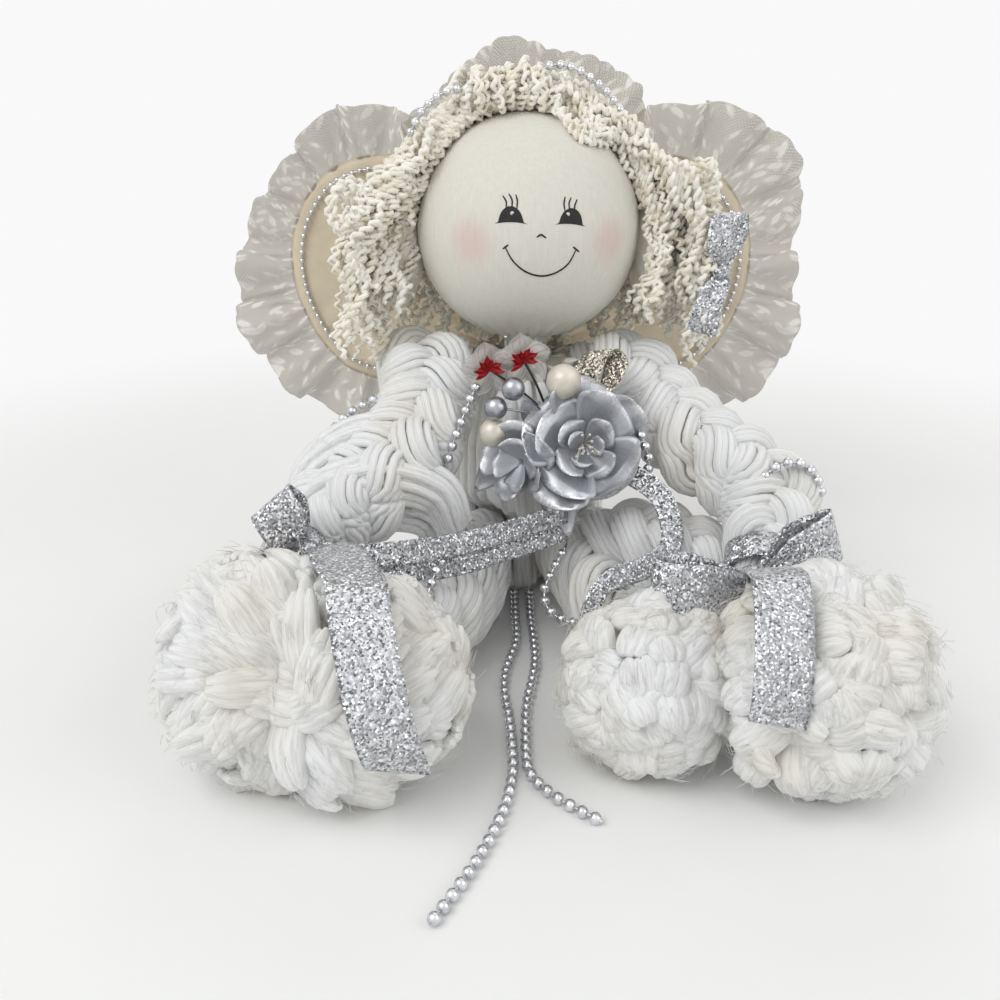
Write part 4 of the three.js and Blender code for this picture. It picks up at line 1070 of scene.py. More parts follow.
def tuft_yarns(name, count):
    """Frayed yarn ends: soft locks that lie over the ball like petals, and loose fibres.
    On the left they all lie away from one heart between hand and foot; on the right they lie any way."""
    middle, radii, plane, side = TUFTS[name]
    fluffy = name.endswith("right")
    heart, axis = TUFT_HEART
    rng = random.Random(len(name) * 7 + side)
    made, fibres = [], []

    def settle(point):
        x, y, z = point
        return mm(side * max(x * side, plane * side - 3.5), y, max(z, 2.4))

    for i in range(count):
        level = 1 - 2 * (i + 0.5) / count
        turn = i * GOLDEN_TURN + rng.uniform(-0.3, 0.3)
        ring = math.sqrt(1 - level * level)
        way = Vector((ring * math.cos(turn), level, ring * math.sin(turn)))
        chance = Vector((rng.gauss(0, 1), rng.gauss(0, 1), rng.gauss(0, 1)))
        if fluffy:
            bend = chance + Vector((0, 0, -0.6))
        else:
            away = Vector([m + w * r for m, w, r in zip(middle, way, radii)]) - heart
            away = (away - axis * away.dot(axis)).normalized()
            bend = away + axis.cross(away) * 0.4 + chance * 0.3
        bend = (bend - way * bend.dot(way)).normalized()
        flat = way.cross(bend)
        reach = rng.uniform(7, 12) if fluffy else rng.uniform(14, 21)
        lift = rng.uniform(0.86, 1.01) + 0.08 * noise.noise(way * 2.1 + Vector(middle))
        tip = rng.uniform(-0.03, 0.12)
        wide, thick = rng.uniform(3.0, 4.2), rng.uniform(3.3, 4.3) + (0.8 if fluffy else 0)
        # How far out of the ball, how far along the lock and how far apart the plies lie, from root to tip
        stations = ((0.64, -0.45, 0.6), (0.84, -0.3, 0.9), (0.95, 0.05, 1.0), (0.97 + tip / 2, 0.55, 0.95),
                    (0.95 + tip, 1.0, 0.75))
        for ply in (-1, 0, 1):
            end = rng.uniform(0.9, 1.08)
            points = []
            for out, along, apart in stations:
                point = Vector([m + w * r * out * lift for m, w, r in zip(middle, way, radii)])
                point += bend * along * reach * end
                point += (flat * wide * ply + way * (0.8 - abs(ply))) * apart
                points.append(settle(point))
            made.append((smooth_route(points, LOCK_POINTS), LOCK_SIZES * thick * MM))
        for _ in range(9):
            start = Vector([m + w * r * lift for m, w, r in zip(middle, way, radii)])
            start += flat * rng.gauss(0, 4) + way * rng.uniform(2, 5)
            drift = bend * rng.uniform(4, 9) + chance + flat * rng.gauss(0, 2) + way * rng.uniform(-3, 4)
            fibre = [settle(start + drift * s + way * 2 * s * (1 - s)) for s in (0, 0.35, 0.7, 1)]
            fibres.append((fibre, FIBRE_RADIUS))
    return made, fibres


def tuft_core(name):
    """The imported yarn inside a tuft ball."""
    middle, radii, plane, side = TUFTS[name]
    bm = bmesh.new()
    bmesh.ops.create_icosphere(bm, subdivisions=4, radius=1)
    for vert in bm.verts:
        swell = 0.85 + 0.03 * noise.noise(vert.co * 5) + 0.03 * noise.noise(vert.co * 13)
        x, y, z = (m + c * r * swell for m, c, r in zip(middle, vert.co, radii))
        if (x - plane) * side < 2.5:
            x = plane + side * 2.5
        vert.co = mm(x, y, max(z, 1.5))
    return bm


class ANGEL_OT_body(bpy.types.Operator):
    """Roving body and gathered neck"""
    bl_idname = "angel.body"
    bl_label = "Body"

    def execute(self, context):
        yarns = yarn_piece("roving_body", body_yarns(), 2)
        dress(yarns, roving_material(12), "torso", "roving", "body_roving")
        bm = bmesh.new()
        bmesh.ops.create_uvsphere(bm, u_segments=48, v_segments=40, radius=1)
        for vert in bm.verts:
            height = 4.5 + 119 * (0.5 + 0.5 * vert.co.z)
            turn = math.atan2(vert.co.x, -vert.co.y)
            flat = min(1, math.hypot(vert.co.x, vert.co.y) * 2.2)
            r = (body_surface(body_lean(turn, height), height) - 4.5) * flat
            vert.co = mm(r * math.sin(turn), -r * math.cos(turn), height)
        dress(mesh_piece("body_filling", bm), roving_material(1), "torso", "filling")
        self.neck(*HEAD_MIDDLE[:2])
        return {"FINISHED"}

    def neck(self, mid_x, mid_y):
        """Gathered yarns under the head's middle, and the two-ply cord wound twice round them."""
        count, wide = 13, 8.2
        yarns = []
        for i in range(count):
            points = []
            for z in range(120, 150, 3):
                turn = 2 * math.pi * i / count + z / 60
                points.append(mm(mid_x + wide * math.cos(turn), mid_y + wide * math.sin(turn), z))
            yarns.append((points, 2.3 * MM))
        dress(yarn_piece("neck_yarns", yarns), roving_material(3), "neck", "roving", "neck_stub")
        tie, steps = [], 119
        for ply in (0, math.pi):
            points = []
            for i in range(steps + 1):
                share, twist = i / steps, ply + 0.55 * i
                turn = 4 * math.pi * share
                wide = 11.8 + 0.7 * math.cos(twist)
                points.append(mm(mid_x + wide * math.cos(turn), mid_y + wide * math.sin(turn),
                                 129.4 + 2 * share + 0.7 * math.sin(twist)))
            tie.append((points, CORD_RADIUS))
        dress(yarn_piece("neck_cord", tie), hair_material(), "neck", "hair_yarn", "neck_tie")


class ANGEL_OT_limbs(bpy.types.Operator):
    """Braided arms and legs with their frayed hands and feet"""
    bl_idname = "angel.limbs"
    bl_label = "Limbs"

    def execute(self, context):
        braid, frayed = roving_material(16), roving_material(2.5, 0.8)
        count = settings("roving").tufts
        for side in SIDES:
            for kind in ("arm", "leg"):
                plait = yarn_piece(f"plait_{kind}_{side}", braid_strands(f"{kind}_{side}"))
                dress(plait, braid, f"{kind}_{side}", "roving", f"{kind}_braid_{side}")
        dress(yarn_piece("plait_knee_fold", braid_strands("knee_fold")), braid, "leg_right", "roving")
        rng = random.Random(21)
        arches = [yarn for points in ELBOW_ARCHES for yarn in arch_yarns(points, 30, rng)]
        dress(yarn_piece("elbow_arches", arches), braid, "arm_left", "roving")
        for name in TUFTS:
            end, _, side = name.split("_")
            limb = f"{'arm' if end == 'hand' else 'leg'}_{side}"
            locks, fibres = tuft_yarns(name, count)
            dress(yarn_piece(f"frayed_{end}_{side}", locks, 2), frayed, limb, "roving", name)
            dress(yarn_piece(f"loose_fibres_{end}_{side}", fibres, 0), frayed, limb, "roving")
            dress(mesh_piece(f"packed_{end}_{side}", tuft_core(name)), frayed, limb, "roving")
        return {"FINISHED"}


# Wings and lace

# The wings' plane in Y, the hinges' place in X and the height of the knot that gathers the wings
WING_PLANE, WING_HINGE, WING_GATHER = 58, 9.4, 118
WING_OUTLINE = [(WING_HINGE, 104), (60, 96), (104, 106), (129, 144), (130, 186), (106, 219), (62, 224),
                (26, 186), (WING_HINGE, 132)]
# Thicknesses of lace, satin and the wide and narrow ribbon
LACE_CLOTH, SATIN_CLOTH, BOW_CLOTH, STREAMER_CLOTH = 0.3 * MM, 0.4 * MM, 0.6 * MM, 0.5 * MM
# Length over which the pattern runs and width of each strip of lace
WING_STRIP, HALO_STRIP, COLLAR_STRIP = (0.62, 0.038), (0.28, 0.028), (0.2, 0.022)
# Where the ruffle starts along the outline's length and how much of it it takes
RUFFLE_START, RUFFLE_SPAN = 0.13, 0.58
# Its width there, as the lace stands out in corners on each wing
RUFFLE = {
    "left": ((0.13, 16), (0.21, 29), (0.27, 36), (0.35, 40), (0.44, 27), (0.53, 21), (0.58, 31), (0.66, 24),
             (0.71, 12)),
    "right": ((0.13, 16), (0.24, 36), (0.31, 43), (0.42, 25), (0.50, 41), (0.58, 33), (0.66, 24), (0.71, 12)),
}


def wing_outline(count):
    """The wing's edge from its hinge round by the tip, in millimetres with X away from the doll."""
    loop = WING_OUTLINE[-2:] + WING_OUTLINE + WING_OUTLINE[:2]
    route = smooth_route([(x, z, 0) for x, z in loop], 1200)
    off_start = np.hypot(*(route[:, :2] - WING_OUTLINE[0]).T)
    start, end = int(np.argmin(off_start[:600])), 600 + int(np.argmin(off_start[600:]))
    edge = smooth_route(route[start:end:8].tolist() + [route[end].tolist()], count)[:, :2]
    edge[:, 0] = np.maximum(edge[:, 0], WING_HINGE)
    return edge


def edge_outward(edge):
    """The way out of the wing at each point of its edge."""
    outward = np.column_stack([np.gradient(edge[:, 1]), -np.gradient(edge[:, 0])])
    return outward / np.linalg.norm(outward, axis=1)[:, None]


def finish_lace(name, bm, strip, body, node, rests_on):
    """Thickens and dresses a gathered strip of lace."""
    lace = cloth_piece(name, bm, LACE_CLOTH, lace_material(*strip), body, "lace", node)
    cut_strip(strip[1], rests_on)


def wing_lace(side):
    """A gathered strip sewn along the wing's edge: deep ruffles, small gathers and a scalloped hem."""
    sign = SIDES[side]
    steps = 600
    edge = wing_outline(steps + 1)
    outward = edge_outward(edge)
    shares, widths = zip(*RUFFLE[side])

    def place(u, v):
        t = RUFFLE_START + RUFFLE_SPAN * u
        i = int(t * steps)
        wide = float(np.interp(t, shares, widths)) * (1 + 0.035 * abs(math.sin(math.pi * 34 * u)))
        wide += 1.6 * noise.noise(Vector((u * 14, v, 5.0 * sign))) * v
        wave = 7.5 * math.sin(2 * math.pi * 10.5 * u + 1.6 * math.sin(9 * u)) * v ** 0.7
        wave += 2.4 * math.sin(2 * math.pi * 27 * u + 2 * math.sin(17 * u)) * min(1, 2.5 * v) * (1.3 - v)
        slide = 4.5 * math.cos(2 * math.pi * 10.5 * u) * v
        x = edge[i][0] + outward[i][0] * (wide * v - 3) - outward[i][1] * slide
        z = edge[i][1] + outward[i][1] * (wide * v - 3) + outward[i][0] * slide
        return mm(sign * x, WING_PLANE + 0.5 + wave - 2 * v, z)

    bm = bmesh.new()
    add_patch(bm, 330, 14, place)
    finish_lace(f"wing_ruffle_{side}", bm, WING_STRIP, f"wing_{side}", f"wing_lace_{side}",
                f"wing_panel_{side}")


def wing_panel(side):
    """A flat stuffed panel: two cloths sewn at the edge, drawn in where the lace is gathered on."""
    sign = SIDES[side]
    steps = 180
    edge = wing_outline(steps + 1)
    middle = np.array((72, 160))
    bm = bmesh.new()
    for face in (-1, 1):
        def place(u, v):
            rim = edge[round(u * steps)]
            x, z = middle + (rim - middle) * v
            puff = 2.4 * math.sqrt(max(1 - v ** 5, 0))
            # Pleats fan out from the knot that gathers the wings
            off_x, off_z = x - WING_HINGE, z - WING_GATHER
            pleat = 2.8 * math.exp(-math.hypot(off_x, off_z) / 65) * math.cos(21 * math.atan2(off_z, off_x))
            pleat = (pleat + 1.6 * noise.noise(Vector((x / 24, sign, z / 24)))) * (1 - v ** 8)
            # Small creases where the lace is gathered on
            crease = math.sin(2 * math.pi * 23 * u + 4 * noise.noise(Vector((u * 8, v, 0))))
            crease *= 0.7 * v ** 4 * (1 - v ** 12)
            return mm(sign * x, WING_PLANE + pleat + face * (puff + crease), z)
        add_patch(bm, steps, 20, place)
    bmesh.ops.remove_doubles(bm, verts=bm.verts, dist=0.01 * MM)
    bmesh.ops.recalc_face_normals(bm, faces=bm.faces)
    panel = mesh_piece(f"wing_cloth_{side}", bm)
    dress(panel, wing_cloth_material(), f"wing_{side}", "wing_cloth", f"wing_panel_{side}")


def wing_edging(side):
    """Small beads stitched a little inside the wing's edge."""
    edge = wing_outline(401)
    inset = edge - edge_outward(edge) * 7
    route = [mm(SIDES[side] * x, WING_PLANE - 3.6, z) for x, z in inset[56:366:6]]
    beads = bead_string(f"wing_edging_{side}", route, 3.2 * MM, 1.45)
    dress(beads, steel_bead_material(), f"wing_{side}", "silver_beads", f"wing_beads_{side}")


def halo_lace():
    """The ruffle that stands up behind the hair."""
    # Reach of the hem along the strip, and of the seam
    peaks = ((0, 62), (0.08, 70), (0.2, 63), (0.36, 68), (0.45, 73), (0.56, 66), (0.72, 71), (0.82, 74),
             (0.93, 66), (1, 58))
    seam = 42

    def place(u, v):
        turn = math.radians(166 - 152 * u)
        reach = seam + (float(np.interp(u, *zip(*peaks))) - seam) * v
        wave = 5 * math.sin(2 * math.pi * 7 * u) * v
        wave += 1.8 * math.sin(2 * math.pi * 24 * u) * min(1, 3 * v) * (1.1 - v)
        reach += 1.5 * abs(math.sin(math.pi * 20 * u)) * v
        return mm(HEAD_MIDDLE[0] + 1.02 * reach * math.cos(turn), 29 + wave - 3 * v,
                  211 + reach * math.sin(turn))

    bm = bmesh.new()
    add_patch(bm, 220, 12, place)
    finish_lace("halo_ruffle", bm, HALO_STRIP, "head", "halo_lace", "hair_crown")


def collar_ruffle():
    """The lace frill round the neck, wider over the chest."""
    mid_x, mid_y, _ = HEAD_MIDDLE

    def place(u, v):
        turn = 2 * math.pi * u
        front = 0.5 - 0.5 * math.cos(turn)
        reach = 13 + (13 + 13 * front) * v
        wave = 3.4 * math.sin(2 * math.pi * 11 * u) * v
        return mm(mid_x + reach * math.sin(turn), mid_y + reach * math.cos(turn),
                  130 + wave + 5 * v - 5 * v * v)

    bm = bmesh.new()
    add_patch(bm, 190, 8, place)
    finish_lace("collar_ruffle", bm, COLLAR_STRIP, "torso", "collar_lace", "body_roving")


class ANGEL_OT_wings(bpy.types.Operator):
    """Cloth wings with lace ruffles and bead edging, and the knot that gathers them"""
    bl_idname = "angel.wings"
    bl_label = "Wings"

    def execute(self, context):
        for side in SIDES:
            wing_panel(side)
            wing_lace(side)
            wing_edging(side)
        bm = bmesh.new()
        bmesh.ops.create_uvsphere(bm, u_segments=72, v_segments=36, radius=1)
        for vert in bm.verts:
            turn = math.atan2(vert.co.x, vert.co.z)
            pleat = 1 + 0.05 * math.cos(14 * turn + 3 * noise.noise(vert.co * 2))
            waist = 0.8 + 0.2 * vert.co.y ** 2
            vert.co = mm(11.5 * vert.co.x * pleat * waist, 44 + 20 * vert.co.y,
                         108 + 24 * vert.co.z * pleat * waist)
        knot = dress(mesh_piece("gathered_knot", bm), wing_cloth_material(), "torso", "wing_cloth",
                     "wing_knot")
        return {"FINISHED"}


HALO_ROUTE = [(-55, -30, 237), (-48, -31, 248), (-38, -31, 256), (-22, -26, 259), (0, -22, 262),
              (12, -21, 268), (24, -21, 266), (36, -22, 258), (46, -22, 247)]


class ANGEL_OT_lace_and_halo(bpy.types.Operator):
    """Lace behind the head, collar frill and the beads in the hair"""
    bl_idname = "angel.lace_and_halo"
    bl_label = "Lace and halo"

    def execute(self, context):
        halo_lace()
        collar_ruffle()
        beads = bead_string("halo_string", [mm(*point) for point in HALO_ROUTE], 4 * MM, 1.25)
        dress(beads, steel_bead_material(), "head", "silver_beads", "halo_beads")
        return {"FINISHED"}


# Ribbons


def ribbon_strip(bm, stations, width, ends=(1.0, 1.0), slant=0.0):
    """A strip of ribbon: each station is a point and the way across the ribbon there.
    ends narrows the strip at its two ends, as where it is tied; slant cuts the far end askew."""
    rows = 8 * len(stations)
    line = smooth_route(stations, rows + 1)

    def place(u, v):
        at = round(v * rows)
        across = Vector(line[at][3:6]).normalized()
        narrow = min(1, ends[0] + (1 - ends[0]) * v * 4, ends[1] + (1 - ends[1]) * (1 - v) * 4)
        shift = (u - 0.5) * width / MM * narrow
        ahead = Vector(line[min(rows, at + 1)][:3] - line[max(0, at - 1)][:3]).normalized()
        point = Vector(line[at][:3]) + across * shift + ahead * slant * shift * max(0, v * 4 - 3)
        # Ribbon tied tight pleats across its width
        pleat = across.cross(ahead) * (1 - narrow) * 2.2 * math.cos(u * 5 * math.pi)
        return (point + pleat) * MM

    add_patch(bm, 10, rows, place)


def knot_ball(bm, place, radii, turn=0.0):
    made = bmesh.ops.create_icosphere(bm, subdivisions=3, radius=1)["verts"]
    spin = Matrix.Rotation(turn, 3, "Y")
    for vert in made:
        crease = 1 + 0.06 * math.cos(9 * vert.co.x) + 0.05 * noise.noise(vert.co * 2)
        vert.co = mm(*place) + spin @ Vector([c * r * crease * MM for c, r in zip(vert.co, radii)])


def wrist_ring(bm, limb, t, width):
    """A band of ribbon pulled round a limb."""
    route = limb_route(limb, 101)
    point, along, side, above = frames_along(route)[round(100 * t)]
    reach = route[round(100 * t)][3] + 1.6 * MM

    def place(u, v):
        turn = 2 * math.pi * u
        way = side * math.cos(turn) + above * math.sin(turn)
        return point + way * reach * (1 + 0.02 * math.cos(7 * turn)) + along * (v - 0.5) * width
    add_patch(bm, 40, 3, place)


# A tail lies this far over its ball, on the frayed locks
TAIL_CLEAR = 11
# Each loop's and tail's stations: a point and the way across the ribbon there
BOWS = {
    "left": {
        "limb": "arm_left", "ring": 0.87, "knot": ((-93, -140, 76), (8, 7, 8), 0.5),
        "loops": ([(-93, -142, 77, 0.6, 0.1, 0.7), (-97, -149, 87, 0.7, 0.1, 0.7),
                   (-104, -148, 98, 0.75, 0, 0.66), (-106, -141, 99, 0.75, 0, 0.66),
                   (-99, -136, 88, 0.7, 0.1, 0.7), (-94, -138, 77, 0.6, 0.1, 0.7)],
                  [(-90, -143, 72, 0.1, 0.4, 0.9), (-72, -158, 66, 0.2, 0.4, 0.9),
                   (-52, -160, 60, 0.2, 0.4, 0.9), (-48, -154, 55, 0.2, 0.4, 0.9),
                   (-66, -148, 58, 0.1, 0.4, 0.9), (-90, -139, 69, 0.1, 0.4, 0.9)]),
        "tail": ("foot_tuft_left", (-64, -47), 78, -7,
                 [(-91, -142, 77, 0.5, 0.5, -0.2), (-79, -162, 87, 0.8, 0.5, 0)]),
    },
    "right": {
        "limb": "arm_right", "ring": 0.87, "knot": ((93, -153, 67), (8, 7, 8), -0.5),
        "loops": ([(92, -154, 68, 0, 0.4, 0.9), (76, -166, 70, 0, 0.4, 0.9), (55, -167, 71, 0.1, 0.4, 0.9),
                   (49, -160, 71, 0.1, 0.4, 0.9), (58, -152, 69, 0.1, 0.4, 0.9), (76, -149, 67, 0, 0.4, 0.9),
                   (92, -151, 67, 0, 0.4, 0.9)],
                  [(94, -155, 68, -0.6, 0, 0.8), (106, -160, 79, -0.5, 0, 0.85),
                   (122, -155, 88, -0.35, 0, 0.93), (124, -148, 88, -0.35, 0, 0.93),
                   (110, -146, 80, -0.5, 0, 0.85), (95, -151, 68, -0.6, 0, 0.8)]),
        "tail": ("hand_tuft_right", (90, 84), 82, 10,
                 [(93, -156, 70, 0.7, 0.3, 0), (91, -170, 82, 1, 0.2, 0)]),
    },
}


def bow_tail(bm, spec):
    """The long end of a bow, laid over the frayed ball below it."""
    ball, (first, last), high, low, start = spec
    middle, radii, _, _ = TUFTS[ball]
    stations = list(start)
    for angle, x in zip(np.linspace(high, low, 6), np.linspace(first, last, 6)):
        a = math.radians(angle)
        reach = math.sqrt(radii[1] ** 2 - (x - middle[0]) ** 2) + TAIL_CLEAR
        stations.append((x, middle[1] - reach * math.cos(a), middle[2] + reach * math.sin(a), 1, 0.15, 0))
    ribbon_strip(bm, stations, settings("trim").bow_ribbon, (0.4, 1.0), 0.25)


class ANGEL_OT_bows(bpy.types.Operator):
    """Glitter ribbon bows at the wrists and the ribbon in the hair"""
    bl_idname = "angel.bows"
    bl_label = "Bows"

    def execute(self, context):
        glitter = ribbon_material()
        width = settings("trim").bow_ribbon
        for side, spec in BOWS.items():
            bm = bmesh.new()
            wrist_ring(bm, spec["limb"], spec["ring"], 0.6 * width)
            knot_ball(bm, *spec["knot"])
            for loop in spec["loops"]:
                ribbon_strip(bm, loop, width, (0.3, 0.3))
            looks = (BOW_CLOTH, glitter, f"arm_{side}", "glitter_ribbon")
            cloth_piece(f"ribbon_bow_{side}", bm, *looks, f"wrist_bow_{side}")
            bm = bmesh.new()
            bow_tail(bm, spec["tail"])
            tail = cloth_piece(f"ribbon_tail_{side}", bm, *looks, f"bow_tail_{side}")
            cut_strip(width, spec["tail"][0])
        bm = bmesh.new()
        knot = (93, -43, 178)
        ribbon_strip(bm, [(*knot, 1, 0.4, 0), (90, -52, 190, 1, 0.3, 0), (91, -52, 202, 1, 0.3, 0),
                          (97, -45, 204, 1, 0.3, 0), (98, -42, 192, 1, 0.3, 0), (94, -42, 178, 1, 0.4, 0)],
                     14 * MM, (0.35, 0.35))
        ribbon_strip(bm, [(*knot, 1, 0.3, 0), (89, -50, 168, 1, 0.2, 0.1), (86, -51, 158, 1, 0.1, 0.1),
                          (85, -49, 149, 1, 0, 0.1)], 15 * MM, (0.35, 1), 0.3)
        knot_ball(bm, knot, (5, 4.5, 4))
        cloth_piece("hair_bow", bm, BOW_CLOTH, glitter, "head", "glitter_ribbon", "hair_ribbon")
        return {"FINISHED"}


class ANGEL_OT_streamers(bpy.types.Operator):
    """Narrow ribbons from the corsage to the left bow and in a curl to the right"""
    bl_idname = "angel.streamers"
    bl_label = "Streamers"

    def execute(self, context):
        glitter = ribbon_material()
        width = settings("trim").streamer
        for name, drop in (("upper", 0), ("lower", 9)):
            stations = [(20, -88 - 0.1 * drop, 72 - drop, 0, 0.4, 1), (-4, -103, 70 - drop, 0, 0.4, 1),
                        (-30, -120, 70 - 1.1 * drop, -0.05, 0.4, 1), (-53, -135, 73 - drop, -0.1, 0.4, 1),
                        (-73, -143, 75 - 0.7 * drop, 0, 0.4, 1), (-91, -142, 76 - 0.3 * drop, 0, 0.3, 1)]
            bm = bmesh.new()
            ribbon_strip(bm, stations, width)
            ribbon = cloth_piece(f"streamer_ribbon_{name}", bm, STREAMER_CLOTH, glitter, None,
                                 "glitter_ribbon", f"streamer_{name}")
            tuple(mm(*stations[0][:3]))
            tuple(mm(*stations[-1][:3]))
            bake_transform(ribbon)
            cut_strip(width, "corsage_base")
        bm = bmesh.new()
        ribbon_strip(bm, [(36, -84, 94, 0, 0.4, 1), (48, -93, 93, 0.3, 0.3, 0.9), (62, -100, 84, 0.8, 0, 0.6),
                          (66, -111, 68, 1, 0, 0), (55, -121, 60, 0.5, -0.4, -0.8),
                          (36, -129, 56, 0.1, -0.5, -0.9), (29, -134, 44, 0.9, -0.1, -0.3),
                          (28, -136, 34, 1, 0, 0)], width, (1, 1), 0.3)
        curl = cloth_piece("streamer_curl", bm, STREAMER_CLOTH, glitter, "torso", "glitter_ribbon",
                           "streamer_right")
        cut_strip(width, "corsage_base")
        return {"FINISHED"}


# Corsage


def flower(bm, middle, facing, petals, radius, depth, start=0.0, wide=0.56):
    """A ring of cupped petals with rolled rims about a facing direction."""
    facing = Vector(facing).normalized()
    right = facing.cross(UP).normalized() * -1
    above = facing.cross(right)
    for i in range(petals):
        turn = start + 2 * math.pi * i / petals
        out = right * math.cos(turn) + above * math.sin(turn)
        around = facing.cross(out)
        odd = 1 + 0.1 * math.sin(i * 2.7 + start)

        def place(u, v):
            w = 2 * u - 1
            reach = radius * odd * (0.06 + 0.94 * v * (1 - 0.2 * w * w * v))
            side = wide * radius * w * (0.16 + 0.84 * math.sin(min(v * 1.25, 1) * math.pi / 2))
            side *= 1 - 0.25 * v ** 6
            lift = depth * (0.15 + 0.85 * v ** 1.5)
            lift += 0.13 * radius * w * w * math.sin(math.pi * min(v, 0.9))
            lift -= 0.4 * depth * ease((v - 0.78) / 0.22) * (0.6 + 0.4 * w * w)
            # Each petal is turned so that one edge lies over its neighbour
            lift += 0.26 * radius * w * v + 0.04 * radius * math.sin(6 * w + i) * v
            return mm(*middle) + (out * reach + around * side + facing * lift) * MM
        add_patch(bm, 10, 10, place)


def leaf(bm, points, width, across):
    """A leaf or pointed petal along three points, creased down its middle."""
    rows = 16
    line = smooth_route(points, rows + 1)
    across = Vector(across).normalized()
    ahead = Vector(line[rows] - line[0]).normalized()

    def place(u, v):
        w = 2 * u - 1
        half = width / 2 * math.sin(math.pi * (0.08 + 0.9 * v)) ** 0.8
        fold = across.cross(ahead) * (abs(w) * half * 0.35 + 0.6 * math.sin(9 * v + 3 * w))
        return (Vector(line[round(v * rows)]) + across * w * half + fold) * MM
    add_patch(bm, 8, rows, place)


def stem_wires(bm, tips, root, radius):
    """Bent wires from one root to each tip."""
    wires = []
    for tip in tips:
        bend = (Vector(root) + Vector(tip)) / 2 + Vector((0, -2, 2))
        wires.append((smooth_route([root, bend, tip], 9) * MM, radius * MM))
    bm.from_mesh(yarn_mesh("stems", wires))


